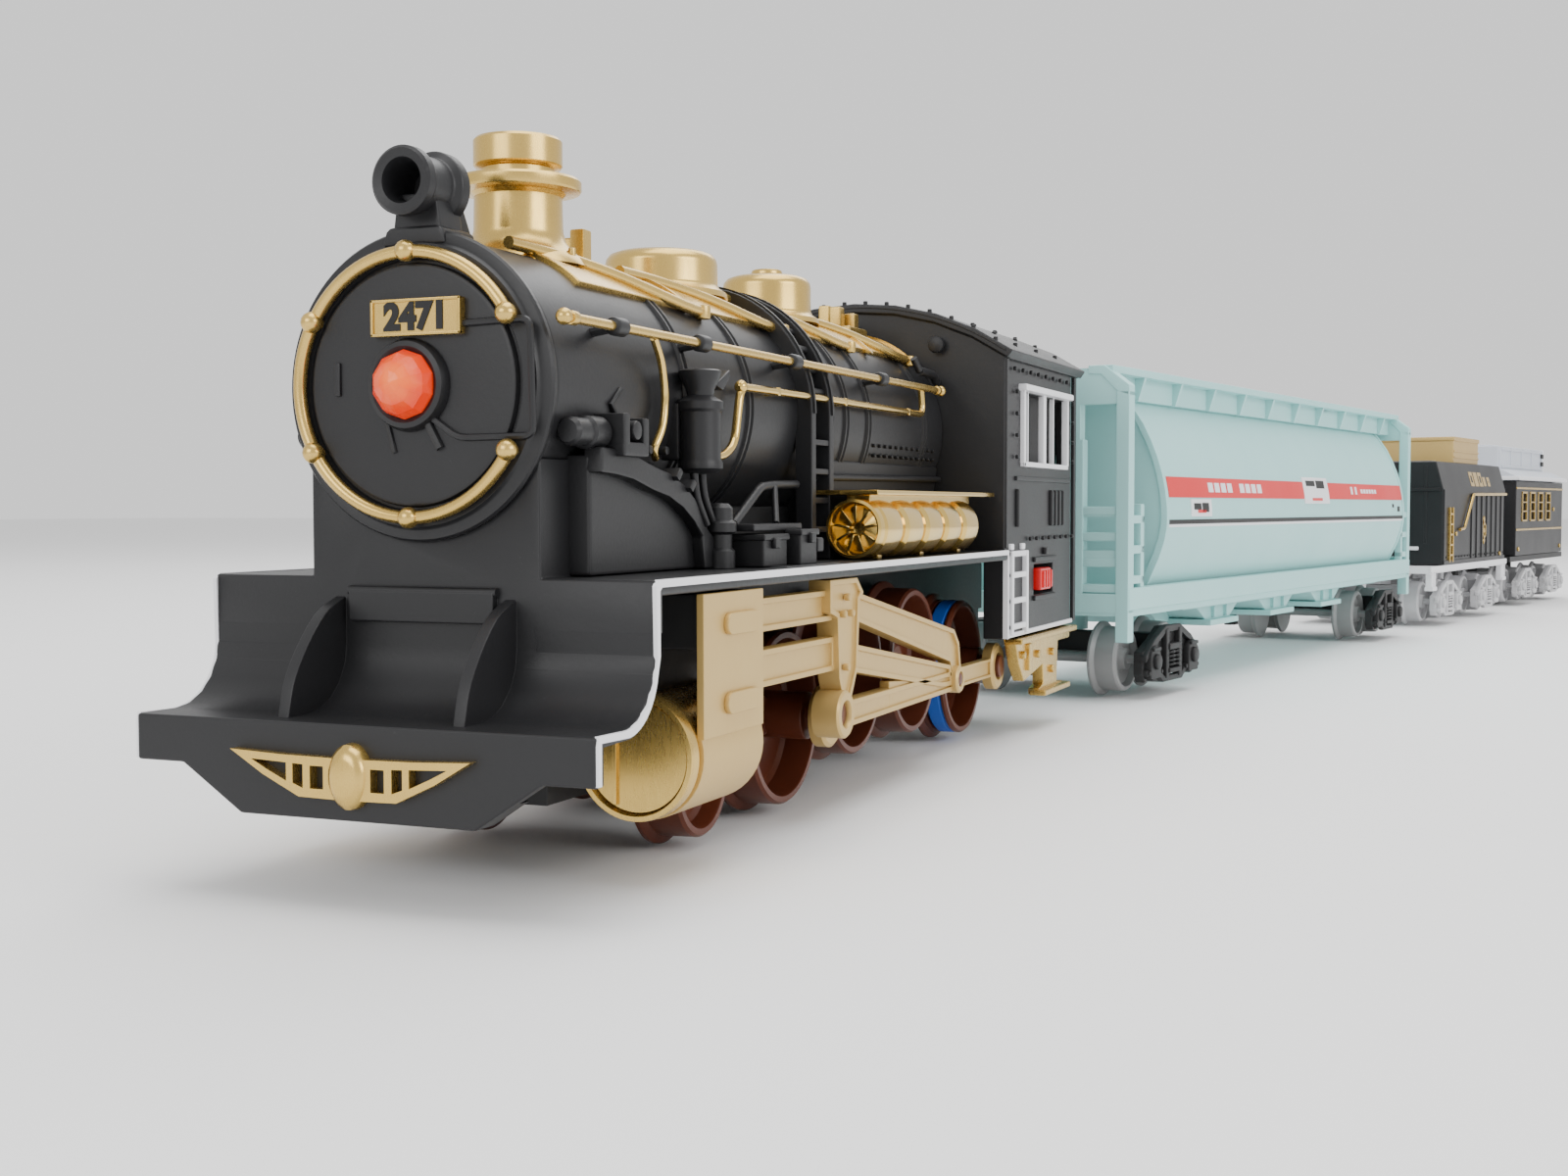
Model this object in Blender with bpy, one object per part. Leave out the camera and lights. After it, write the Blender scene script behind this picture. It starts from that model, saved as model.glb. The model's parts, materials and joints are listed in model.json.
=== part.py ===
"""Toy steam train: a locomotive that pulls a hopper wagon, a tender and a coach.

Sizes are in millimetres and become metres when a mesh is made. X runs from the buffer beam
towards the tail, Z is up, and heights are measured from the rail head.
"""
import math

import bmesh
import bpy
from mathutils import Vector

MM = 0.001
GAP = 0.3

# Where the train stands: the middle of its plan, and the rail head above the floor.
TRAIN_MIDDLE = (413.03, -54.85)
FLANGE_DEPTH = 1.25

# Running gear.
WHEEL_OUTER_Y = 20.0
WHEEL_INNER_Y = 13.2
FLANGE_WIDTH = 1.2
AXLE_RADIUS = 1.2
DRIVER_RADIUS = 13.0
DRIVER_SPOTS = (78.9, 109.2, 139.5, 169.8)
IDLE_LIFT = 3.6
PONY_RADIUS = 8.0
PONY_X = 50.0
CARRIER_RADIUS = 7.75
BOGIE_WHEELBASE = 26.0
BOGIE_FRAME_Y = 24.6
CRANK_THROW = 3.0
ROD_Y = 25.0
ROD_THICKNESS = 2.0
CRANK_PIN_RADIUS = 2.2
TYRE_SPAN = (15.6, 19.0)
TYRE_DEPTH = 1.0

# Locomotive body.
BEAM_HALF = 31.0
DECK_Z = 19.9
BEAM_BOTTOM_Z = 14.4
RISER_X = 14.2
BOARD_TOP_Z = 36.0
BOARD_THICKNESS = 1.8
BOARD_HALF = 31.3
BOILER_Z = 58.7
BOILER_RADIUS = 17.9
BAND_RADIUS = 18.4
BARREL_SIDES = 24
PEDESTAL_HALF = 16.1
CAB_FRONT_X = 162.8
CAB_REAR_X = 216.0
CAB_HALF = 30.2
CAB_EAVE_Z = 73.7
CAB_PEAK_Z = 82.8
CAB_FLOOR_Z = 19.0
CHIMNEY_X = 36.6
HANDRAIL_Y = 18.9
HANDRAIL_Z = 66.2
DRAW_PIN_X = 206.0
DRAW_Z = 10.5

# Vehicles behind the engine: first axle's centre and heading in the engine's frame.
HOPPER_SPOT = (262.5, -14.2, -9.8)
TENDER_SPOT = (563.3, -66.9, -11.2)
COACH_SPOT = (726.4, -95.4, -12.0)
HOPPER_FRAME = (-17.6, 253.0)
HOPPER_BODY = (3.0, 237.0)
HOPPER_BOGIES = (13.0, 225.3)
TENDER_FRAME = (-16.0, 113.0)
TENDER_BOGIES = (13.0, 80.0)
COACH_FRAME = (-16.0, 98.0)
COACH_BOGIES = (13.0, 71.0)
PIN_INSET = 4.0
FRAME_BOTTOM_Z = 19.0

FINISHES = {
    "black_plastic": ((0.035, 0.035, 0.038), 0.42, 0.0),
    "gold_plate": ((0.78, 0.58, 0.30), 0.32, 0.85),
    "tan_plastic": ((0.72, 0.52, 0.28), 0.40, 0.3),
    "brown_plastic": ((0.20, 0.055, 0.02), 0.45, 0.0),
    "blue_rubber": ((0.01, 0.12, 0.55), 0.70, 0.0),
    "red_lens": ((0.85, 0.10, 0.03), 0.15, 0.0),
    "red_plastic": ((0.70, 0.02, 0.02), 0.35, 0.0),
    "aqua_plastic": ((0.42, 0.66, 0.65), 0.45, 0.0),
    "grey_plastic": ((0.30, 0.30, 0.31), 0.45, 0.0),
    "silver_plastic": ((0.55, 0.55, 0.56), 0.38, 0.2),
    "pale_plastic": ((0.72, 0.74, 0.78), 0.40, 0.0),
    "steel": ((0.55, 0.55, 0.57), 0.35, 0.9),
}


def clear_scene():
    for thing in list(bpy.data.objects):
        bpy.data.objects.remove(thing, do_unlink=True)


def finish(name):
    """Material of one of the train's plastics or metals, made once."""
    found = bpy.data.materials.get(name)
    if found:
        return found
    colour, roughness, metallic = FINISHES[name]
    made = bpy.data.materials.new(name)
    made.use_nodes = True
    shader = made.node_tree.nodes["Principled BSDF"]
    shader.inputs["Base Color"].default_value = (*colour, 1.0)
    shader.inputs["Roughness"].default_value = roughness
    shader.inputs["Metallic"].default_value = metallic
    return made


def datum(name, spot, heading=0.0, parent=None):
    """Empty that carries a vehicle or a joint; spot in millimetres, heading in degrees."""
    empty = bpy.data.objects.new(name, None)
    bpy.context.collection.objects.link(empty)
    empty.location = Vector(spot) * MM
    empty.rotation_euler = (0.0, 0.0, math.radians(heading))
    empty.parent = parent
    return empty


def prism(outline, low, high, axis="Y"):
    """Outline extruded along an axis; its points are (x, z), (y, z) or (x, y)."""
    place = {
        "X": lambda a, b, c: (c, a, b),
        "Y": lambda a, b, c: (a, c, b),
        "Z": lambda a, b, c: (a, b, c),
    }[axis]
    mesh = bmesh.new()
    lower = [mesh.verts.new(place(a, b, low)) for a, b in outline]
    upper = [mesh.verts.new(place(a, b, high)) for a, b in outline]
    mesh.faces.new(lower)
    mesh.faces.new(upper)
    count = len(outline)
    for i in range(count):
        j = (i + 1) % count
        mesh.faces.new((lower[i], lower[j], upper[j], upper[i]))
    bmesh.ops.recalc_face_normals(mesh, faces=mesh.faces)
    return mesh


def block(x, y, z):
    """Box from three (low, high) pairs."""
    return prism([(x[0], z[0]), (x[1], z[0]), (x[1], z[1]), (x[0], z[1])], y[0], y[1])


def turned(profile, axis="Y", centre=(0.0, 0.0, 0.0), sides=16):
    """Solid of revolution; profile points are (radius, distance along the axis)."""
    mesh = bmesh.new()
    rings = []
    for radius, along in profile:
        count = sides if radius > 0 else 1
        ring = []
        for i in range(count):
            angle = math.tau * (i + 0.5) / sides
            across, rise = radius * math.cos(angle), radius * math.sin(angle)
            local = {
                "X": (along, across, rise),
                "Y": (across, along, rise),
                "Z": (across, rise, along),
            }[axis]
            ring.append(mesh.verts.new(Vector(local) + Vector(centre)))
        rings.append(ring)
    for one, two in zip(rings, rings[1:]):
        for i in range(sides):
            j = (i + 1) % sides
            corners = [one[i % len(one)], one[j % len(one)], two[j % len(two)], two[i % len(two)]]
            mesh.faces.new(list(dict.fromkeys(corners)))
    bmesh.ops.recalc_face_normals(mesh, faces=mesh.faces)
    return mesh


def cylinder(radius, low, high, axis="Y", centre=(0.0, 0.0, 0.0), sides=16):
    return turned([(0, low), (radius, low), (radius, high), (0, high)], axis, centre, sides)


def ring(inner, outer, low, high, axis, centre, sides=16):
    """Plain collar with a square section."""
    mesh = turned([(inner, low), (outer, low), (outer, high), (inner, high), (inner, low)],
                  axis, centre, sides)
    bmesh.ops.remove_doubles(mesh, verts=mesh.verts, dist=0.01)
    bmesh.ops.recalc_face_normals(mesh, faces=mesh.faces)
    return mesh


def rod(points, radius, sides=6, up=(0, 0, 1)):
    """Round bar through the points with mitred corners; up is square to every stretch."""
    path = [Vector(point) for point in points]
    mesh = bmesh.new()
    rings = []
    for i, spot in enumerate(path):
        before = (spot - path[i - 1]).normalized() if i else None
        after = (path[i + 1] - spot).normalized() if i + 1 < len(path) else None
        along = ((before or after) + (after or before)).normalized()
        side = along.cross(Vector(up)).normalized()
        rise = side.cross(along)
        stretch = 1.0 / max(along.dot(after or before), 0.5)
        bend = (after - before) if before and after else Vector()
        rings.append([])
        for k in range(sides):
            angle = math.tau * k / sides
            offset = radius * (math.cos(angle) * side + math.sin(angle) * rise)
            if bend.length > 0.01:
                fold = bend.normalized()
                offset += fold * offset.dot(fold) * (stretch - 1.0)
            rings[-1].append(mesh.verts.new(spot + offset))
    for one, two in zip(rings, rings[1:]):
        for k in range(sides):
            m = (k + 1) % sides
            mesh.faces.new((one[k], one[m], two[m], two[k]))
    mesh.faces.new(rings[0])
    mesh.faces.new(rings[-1])
    bmesh.ops.recalc_face_normals(mesh, faces=mesh.faces)
    return mesh


def arc(centre, radius, start, stop, steps):
    """Points on an arc, angles in degrees."""
    points = []
    for i in range(steps + 1):
        angle = math.radians(start + (stop - start) * i / steps)
        points.append((centre[0] + radius * math.cos(angle), centre[1] + radius * math.sin(angle)))
    return points


def thing_from(name, mesh, origin, parent):
    """Object whose own origin is at the given spot of its parent."""
    for vert in mesh.verts:
        vert.co = (vert.co - Vector(origin)) * MM
    data = bpy.data.meshes.new(name)
    mesh.to_mesh(data)
    mesh.free()
    made = bpy.data.objects.new(name, data)
    bpy.context.collection.objects.link(made)
    made.location = Vector(origin) * MM
    made.parent = parent
    return made


def node(name, look, pieces, parent, cuts=(), origin=(0.0, 0.0, 0.0)):
    """One sub-part: its pieces fused into a single body, then its holes cut."""
    made = thing_from(name, pieces[0], origin, parent)
    made.data.materials.append(finish(look))
    for work, meshes in (("UNION", pieces[1:]), ("DIFFERENCE", cuts)):
        for i, mesh in enumerate(meshes):
            tool = thing_from(f"{name}_{work.lower()}_{i}", mesh, origin, parent)
            tool.hide_render = True
            tool.display_type = "WIRE"
            change = made.modifiers.new(f"{work.lower()} {i}", "BOOLEAN")
            change.operation = work
            change.solver = "EXACT"
            change.object = tool
    made.data.shade_smooth()
    made.data.set_sharp_from_angle(angle=math.radians(35))
    return made


# ---------------------------------------------------------------- running gear

def wheelset_mesh(radius, dish, stub, sides, grooved=False):
    """Two flanged wheels on an axle whose ends reach the stub distance.

    The turned outline is widened a little so that its flats, not its corners, touch the rail.
    """
    rim = radius - 1.6
    flange = radius + FLANGE_DEPTH
    half = [(AXLE_RADIUS, WHEEL_INNER_Y), (flange, WHEEL_INNER_Y), (flange, WHEEL_INNER_Y + FLANGE_WIDTH)]
    half.append((radius, WHEEL_INNER_Y + FLANGE_WIDTH))
    if grooved:
        floor = radius - TYRE_DEPTH
        half += [(radius, TYRE_SPAN[0]), (floor, TYRE_SPAN[0]), (floor, TYRE_SPAN[1]), (radius, TYRE_SPAN[1])]
    half.append((radius, WHEEL_OUTER_Y))
    if dish:
        half += [(rim, WHEEL_OUTER_Y), (rim, WHEEL_OUTER_Y - dish)]
    half += [(AXLE_RADIUS, WHEEL_OUTER_Y - dish), (AXLE_RADIUS, stub), (0.0, stub)]
    widen = 1.0 / math.cos(math.pi / sides)
    profile = [(r * widen, -y) for r, y in reversed(half)] + [(r * widen, y) for r, y in half]
    return turned(profile, sides=sides)


def shift(mesh, offset):
    bmesh.ops.translate(mesh, verts=mesh.verts, vec=Vector(offset))
    return mesh


def carrier_wheelset(name, spot, look, parent):
    mesh = shift(wheelset_mesh(CARRIER_RADIUS, 0.0, BOGIE_FRAME_Y + 1.4, 12), spot)
    return node(name, look, [mesh], parent, origin=spot)


def driving_wheelset(name, x, lift, pins, grooved, parent):
    """Deep-dished driving wheels, with crank pins where a side rod rides."""
    spot = (x, 0.0, DRIVER_RADIUS + lift)
    pieces = [shift(wheelset_mesh(DRIVER_RADIUS, 4.6, WHEEL_OUTER_Y - 3.4, 16, grooved), spot)]
    if pins:
        for side in (-1, 1):
            reach = sorted((side * (WHEEL_OUTER_Y - 5.5), side * (ROD_Y + 1.9)))
            centre = (x + CRANK_THROW, 0.0, spot[2])
            pieces.append(cylinder(CRANK_PIN_RADIUS, *reach, centre=centre, sides=8))
    return node(name, "brown_plastic", pieces, parent, origin=spot)


def axle_slot(x, z, half, bottom):
    """Outline points of a downward slot with a round top for an axle."""
    return [(x - half, bottom)] + arc((x, z), half, 180, 0, 3) + [(x + half, bottom)]


def bogie(name, x, look, parent):
    """Two arch-bar side frames joined by a bolster that carries the swivel pin."""
    spot = (x, 0.0, 0.0)
    carrier = datum(f"{name}_swivel", spot, parent=parent)
    half = BOGIE_WHEELBASE / 2
    slot = AXLE_RADIUS + 2 * GAP
    low = 2.6
    outline = [(-half - 4.6, 4.4), (-half - 3.2, low)]
    outline += axle_slot(-half, CARRIER_RADIUS, slot, low)
    outline += [(-half + 3.2, low), (-half + 5.0, 4.8), (half - 5.0, 4.8), (half - 3.2, low)]
    outline += axle_slot(half, CARRIER_RADIUS, slot, low)
    outline += [(half + 3.2, low), (half + 4.6, 4.4), (half + 4.6, 9.8)]
    outline += [(half - 3.0, 12.4), (4.4, 15.4), (-4.4, 15.4), (-half + 3.0, 12.4), (-half - 4.6, 9.8)]
    pieces = [block((-2.6, 2.6), (-BOGIE_FRAME_Y - 0.6, BOGIE_FRAME_Y + 0.6), (8.4, 13.4))]
    for side in (-1, 1):
        pieces.append(prism(outline, *sorted((side * (BOGIE_FRAME_Y - 1.2), side * (BOGIE_FRAME_Y + 1.2)))))
    pieces.append(cylinder(2.0, 11.0, 17.4, "Z", sides=8))
    node(name, look, pieces, carrier)
    return carrier


def running_gear(vehicle, spots, look, wheel_look, parent):
    """Bogies and wheelsets of one vehicle."""
    for end, x in zip(("front", "rear"), spots):
        name = f"{vehicle}_{end}_bogie"
        carrier = bogie(name, x, look, parent)
        for place, side in (("front", -1), ("rear", 1)):
            spot = (side * BOGIE_WHEELBASE / 2, 0.0, CARRIER_RADIUS)
            carrier_wheelset(f"{vehicle}_{end}_bogie_{place}_wheelset", spot, wheel_look, carrier)


def swivel_socket(x, base):
    """Boss under a frame, and the hole in it for a bogie's pin."""
    boss = cylinder(4.2, 13.4 + GAP, base + 0.5, "Z", (x, 0, 0), 12)
    hole = cylinder(2.0 + GAP, 12.0, 17.4 + GAP, "Z", (x, 0, 0), 8)
    return boss, hole


def draw_pin(x, base):
    """Pin under a frame's end, for the eye of a drawbar."""
    return cylinder(1.6, DRAW_Z - 1.6, base + 0.5, "Z", (x, 0, 0), 8)


def drawbar(name, start, end, parent):
    """Link with an eye at each end, between the draw pins of two vehicles."""
    run = Vector(end) - Vector(start)
    length = run.length
    heading = math.degrees(math.atan2(run.y, run.x))
    swing = datum(f"{name}_swing", (start[0], start[1], 0.0), heading, parent)
    z = (DRAW_Z - 1.1, DRAW_Z + 1.1)
    eye = 1.6 + GAP
    pieces = [block((3.0, length - 3.0), (-1.5, 1.5), z)]
    for x in (0.0, length):
        pieces.append(cylinder(4.0, *z, "Z", (x, 0, 0), 10))
    cuts = [cylinder(eye, z[0] - 1, z[1] + 1, "Z", (x, 0, 0), 8) for x in (0.0, length)]
    node(name, "black_plastic", pieces, swing, cuts)
    return swing


# ---------------------------------------------------------------- locomotive

def loco_chassis(engine):
    """Keel between the wheels, with slots for the axles, and the drawbar pin."""
    low, high = 7.6, 33.6
    slot = AXLE_RADIUS + GAP
    outline = [(24.0, low)]
    outline += axle_slot(PONY_X, PONY_RADIUS, slot, low)
    for i, x in enumerate(DRIVER_SPOTS):
        lift = IDLE_LIFT if i in (1, 2) else 0.0
        outline += axle_slot(x, DRIVER_RADIUS + lift, slot, low)
    outline += [(188.0, low), (192.0, 13.0), (211.0, 13.0), (211.0, 22.0), (CAB_REAR_X - 2.5, 22.0)]
    outline += [(CAB_REAR_X - 2.5, high), (24.0, high)]
    body = prism(outline, -11.0, 11.0)
    well = block((118.0, 186.0), (-8.8, 8.8), (low - 1, 29.0))
    node("loco_chassis", "black_plastic", [body, draw_pin(DRAW_PIN_X, 13.0)], engine, [well])


def front_curve():
    """Concave sweep from the deck up to the riser, in (x, z)."""
    fillet = 8.0
    return arc((RISER_X - fillet, DECK_Z + fillet), fillet, 270, 360, 5)


def running_plate(engine):
    """Buffer beam, deck, riser, saddle and running boards in one moulding."""
    side = [(0.0, BEAM_BOTTOM_Z), (0.0, DECK_Z)] + front_curve()
    side += [(RISER_X, BOARD_TOP_Z), (CAB_FRONT_X - GAP, BOARD_TOP_Z)]
    side += [(CAB_FRONT_X - GAP, BOARD_TOP_Z - BOARD_THICKNESS)]
    side += [(RISER_X + BOARD_THICKNESS, BOARD_TOP_Z - BOARD_THICKNESS), (RISER_X + BOARD_THICKNESS, BEAM_BOTTOM_Z)]
    plate = prism(side, -BEAM_HALF, BEAM_HALF)
    lower = [(-24.3, BEAM_BOTTOM_Z + 0.5), (24.3, BEAM_BOTTOM_Z + 0.5), (24.3, BEAM_BOTTOM_Z)]
    lower += [(15.9, 8.9), (-15.9, 8.9), (-24.3, BEAM_BOTTOM_Z)]
    apron = prism(lower, 0.0, 4.0, "X")
    pieces = [plate, apron]
    saddle = [(-PEDESTAL_HALF, BOARD_TOP_Z - 1), (PEDESTAL_HALF, BOARD_TOP_Z - 1)]
    saddle += arc((0, BOILER_Z), BOILER_RADIUS + GAP, -28, -152, 10)
    pieces.append(prism(saddle, RISER_X, 44.0, "X"))
    for y in (-12.0, 12.0):
        fin = [(RISER_X + 1, 33.2), (RISER_X, 33.2)]
        fin += [(RISER_X - 3.6, 31.8), (7.2, 28.2), (4.3, 24.0), (3.2, DECK_Z - 1), (RISER_X + 1, DECK_Z - 1)]
        pieces.append(prism(fin, y - 0.6, y + 0.6))
    pieces.append(block((13.4, 15.0), (-10.0, 10.0), (31.2, 34.6)))
    for y in (-23.0, 23.0):
        pieces.append(block((60.0, 80.0), (y - 5.0, y + 5.0), (BOARD_TOP_Z - 1, BOARD_TOP_Z + 5.6)))
    spine = block((16.0, CAB_FRONT_X + 2), (-11.0 - GAP, 11.0 + GAP), (BEAM_BOTTOM_Z - 9, 33.6 + GAP))
    node("running_plate", "black_plastic", pieces, engine, [spine])


def boiler(engine):
    """Smokebox and boiler barrel with bands, hollow and open underneath, and its two pumps."""
    x = (RISER_X + 0.4, CAB_FRONT_X - GAP)
    centre = (0, 0, BOILER_Z)
    profile = [(0, x[0]), (BOILER_RADIUS, x[0])]
    for spot in (56.0, 98.0, 146.0):
        profile += [(BOILER_RADIUS, spot), (BAND_RADIUS, spot)]
        profile += [(BAND_RADIUS, spot + 3.0), (BOILER_RADIUS, spot + 3.0)]
    profile += [(BOILER_RADIUS, x[1]), (0, x[1])]
    pieces = [turned(profile, "X", centre, BARREL_SIDES)]
    pieces.append(block((44.4, x[1]), (-13.0, 13.0), (BOARD_TOP_Z + GAP, 48.0)))
    for side in (-1, 1):
        pieces.append(cylinder(2.6, 47.0, 62.0, "Z", (47.5, side * 19.6, 0), 8))
        pieces.append(block((46.2, 48.8), sorted((side * 15.0, side * 19.0)), (50.0, 53.0)))
    wall = 1.8
    hollow = cylinder(BOILER_RADIUS - wall, x[0] + 6.0, x[1] - wall, "X", centre, BARREL_SIDES)
    mouth = block((46.2, x[1] - wall), (-11.2, 11.2), (BOARD_TOP_Z - 1, 52.0))
    node("boiler_shell", "black_plastic", pieces, engine, [hollow, mouth])


def smokebox_door(engine):
    """Front disc with a bezel for the lamp."""
    centre = (0, 0, BOILER_Z)
    disc = turned([(0, RISER_X), (BOILER_RADIUS, RISER_X), (BOILER_RADIUS, 13.4), (16.9, 12.4),
                   (5.6, 12.4), (5.2, 10.6), (4.2, 10.6), (4.2, 12.9), (0, 12.9)], "X", centre, BARREL_SIDES)
    node("smokebox_door", "black_plastic", [disc], engine)


def door_ring(engine):
    """Gold hand ring round the door, open between two of its knobs on the left."""
    radius, wire = 15.8, 0.75
    points = [(11.2, y, z) for y, z in arc((0, BOILER_Z), radius, 150.0, -150.0, 30)]
    pieces = [rod(points, wire, up=(1, 0, 0))]
    for y, z in arc((0, BOILER_Z), radius, 150.0, -150.0, 5):
        pieces.append(cylinder(1.1, 10.1, 12.1, "X", (0, y, z), 8))
    node("door_ring", "gold_plate", pieces, engine)


def front_fittings(engine):
    """Number plate, red lamp and winged badge."""
    plate = block((11.2, 12.4 - GAP), (-6.2, 6.2), (BOILER_Z + 5.6, BOILER_Z + 9.8))
    node("number_plate", "gold_plate", [plate], engine)
    lens = turned([(0, 12.9 - GAP), (3.8, 12.9 - GAP), (3.8, 10.4), (2.9, 8.6), (1.4, 7.6), (0, 7.4)],
                  "X", (0, 0, BOILER_Z), 14)
    node("lamp_lens", "red_lens", [lens], engine)
    thick = (-1.4, -GAP)
    middle = 14.1
    badge = [cylinder(3.0, *thick, "X", (0, 0, middle), 14)]
    slits = []
    for side in (-1, 1):
        wing = [(side * 2.0, middle + 1.9), (side * 15.8, middle + 2.3), (side * 6.4, middle - 2.4)]
        wing += [(side * 2.0, middle - 2.4)]
        badge.append(prism(wing, *thick, "X"))
        slits.append(prism([(side * 3.9, middle + 1.0), (side * 5.6, middle + 1.0),
                            (side * 5.6, middle - 1.5), (side * 3.9, middle - 1.5)], -2, 0, "X"))
        slits.append(prism([(side * 6.6, middle + 1.0), (side * 11.6, middle + 1.2),
                            (side * 6.6, middle - 1.4)], -2, 0, "X"))
    node("front_badge", "gold_plate", badge, engine, slits)


def smokebox_seat():
    """Cutter that fits a foot to the curve of the smokebox top."""
    return cylinder(BOILER_RADIUS + GAP, 0.0, 60.0, "X", (0, 0, BOILER_Z), BARREL_SIDES)


def headlamp(engine):
    """Tubular lamp on a tapered foot ahead of the chimney."""
    z = 82.4
    tube = turned([(0, 22.0), (4.4, 22.0), (4.4, 19.6), (3.7, 19.6), (3.7, 11.8), (4.2, 11.4), (4.2, 10.2),
                   (2.2, 10.2), (2.2, 13.2), (0, 13.2)], "X", (0, 0, z), 16)
    foot_z = BOILER_Z + BOILER_RADIUS - 0.2
    foot = prism([(-3.2, z - 1), (3.2, z - 1), (4.4, foot_z), (-4.4, foot_z)], 15.6, 19.6, "X")
    node("headlamp", "black_plastic", [tube, foot], engine, [smokebox_seat()])


def chimney(engine):
    """Stack with its brim and cap, seated on the smokebox."""
    profile = [(0, 75.0), (8.2, 75.0), (6.6, 77.6), (5.5, 79.0), (5.4, 85.0), (7.0, 85.4), (7.0, 86.8),
               (4.6, 87.0), (4.6, 88.0), (5.6, 88.3), (5.6, 92.0), (4.2, 92.0), (4.2, 84.0), (0, 84.0)]
    stack = turned(profile, "Z", (CHIMNEY_X, 0, 0), 14)
    node("chimney", "gold_plate", [stack], engine, [smokebox_seat()])


def dome_strip(engine):
    """Gold casing along the boiler top with two domes, a turret and a small valve."""
    inner = BOILER_RADIUS + 0.5 + GAP
    crown = arc((0, BOILER_Z), inner + 1.2, 70, 110, 4)
    under = arc((0, BOILER_Z), inner, 110, 70, 4)
    pieces = [prism(crown + under, 46.5, CAB_FRONT_X - 2 * GAP, "X")]
    top = BOILER_Z + inner + 0.6
    for x, radius, height in ((75.0, 8.6, 6.0), (116.0, 8.0, 5.4), (147.0, 4.0, 3.4), (50.6, 2.0, 5.0)):
        pieces.append(turned([(0, top - 0.8), (radius + 1.4, top - 0.8), (radius, top + 1.2),
                              (radius, top + height - 1.6), (radius - 1.2, top + height - 0.3),
                              (0, top + height)], "Z", (x, 0, 0), 12))
    seat = cylinder(inner, 40.0, 170.0, "X", (0, 0, BOILER_Z), BARREL_SIDES)
    node("dome_strip", "gold_plate", pieces, engine, [seat])


def handrails(engine):
    """A rail on each side of the boiler with its stanchion sleeves."""
    for side, name in ((-1, "left"), (1, "right")):
        y = side * (HANDRAIL_Y + 1.2)
        pieces = [rod([(15.2, y, HANDRAIL_Z), (161.0, y, HANDRAIL_Z)], 0.8)]
        for x in (18.0, 84.0, 152.0):
            pieces.append(cylinder(1.3, x - 1.4, x + 1.4, "X", (0, y, HANDRAIL_Z), 6))
        node(f"handrail_{name}", "gold_plate", pieces, engine)


def air_tanks(engine):
    """Hooped gold reservoir on each running board."""
    for side, name in ((-1, "left"), (1, "right")):
        y = side * 24.5
        centre = (0, y, 41.6)
        profile = [(0, 87.0), (3.2, 86.0), (4.6, 87.6)]
        pieces = []
        for x in (98.0, 123.0, 148.0):
            profile += [(4.6, x - 1.5), (5.1, x - 1.5), (5.1, x + 1.5), (4.6, x + 1.5)]
            pieces.append(block((x - 1.0, x + 1.0), (y - 2.6, y + 2.6), (BOARD_TOP_Z + GAP, 39.0)))
        profile += [(4.6, 160.0), (3.4, 162.0), (0, 162.0)]
        pieces.insert(0, turned(profile, "X", centre, 12))
        node(f"air_tank_{name}", "gold_plate", pieces, engine)


def valve_gear(engine):
    """Cylinder, cover plate, slide bars and their hanging bracket in one moulding per side."""
    for side, name in ((-1, "left"), (1, "right")):
        near = sorted((side * 27.0, side * 29.4))
        cover = sorted((side * 29.0, side * 31.2))
        inward = sorted((side * 18.0, side * 29.4))
        pieces = [
            prism([(25.6, 12.0), (42.6, 12.0), (45.4, 33.9), (25.6, 33.9)], *cover),
            cylinder(7.7, 24.0, 41.5, "X", (0, side * 23.2, 14.3), 18),
            block((25.6, 41.5), inward, (28.0, 33.9)),
            block((28.0, 37.0), inward, (18.0, 29.0)),
            cylinder(2.6, *near, centre=(133.4, 0.0, 14.0), sides=12),
        ]
        outlines = (
            [(70.5, 33.9), (82.4, 33.9), (82.2, 28.0), (79.0, 15.0), (77.4, 11.2), (72.6, 11.2), (72.6, 18.0), (70.5, 28.0)],
            [(40.0, 29.0), (73.0, 29.0), (73.0, 32.4), (40.0, 32.4)],
            [(40.0, 20.9), (75.0, 20.9), (75.0, 25.8), (40.0, 25.8)],
            [(80.0, 31.7), (132.7, 22.7), (136.4, 14.6), (132.0, 14.0), (129.0, 17.6), (80.0, 27.6)],
            [(77.0, 24.2), (130.0, 16.6), (129.4, 14.0), (77.0, 21.2)],
            [(76.0, 15.6), (133.0, 15.2), (134.0, 12.2), (76.0, 11.6)],
        )
        pieces += [prism(outline, *near) for outline in outlines]
        node(f"valve_gear_{name}", "tan_plastic", pieces, engine)


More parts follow.
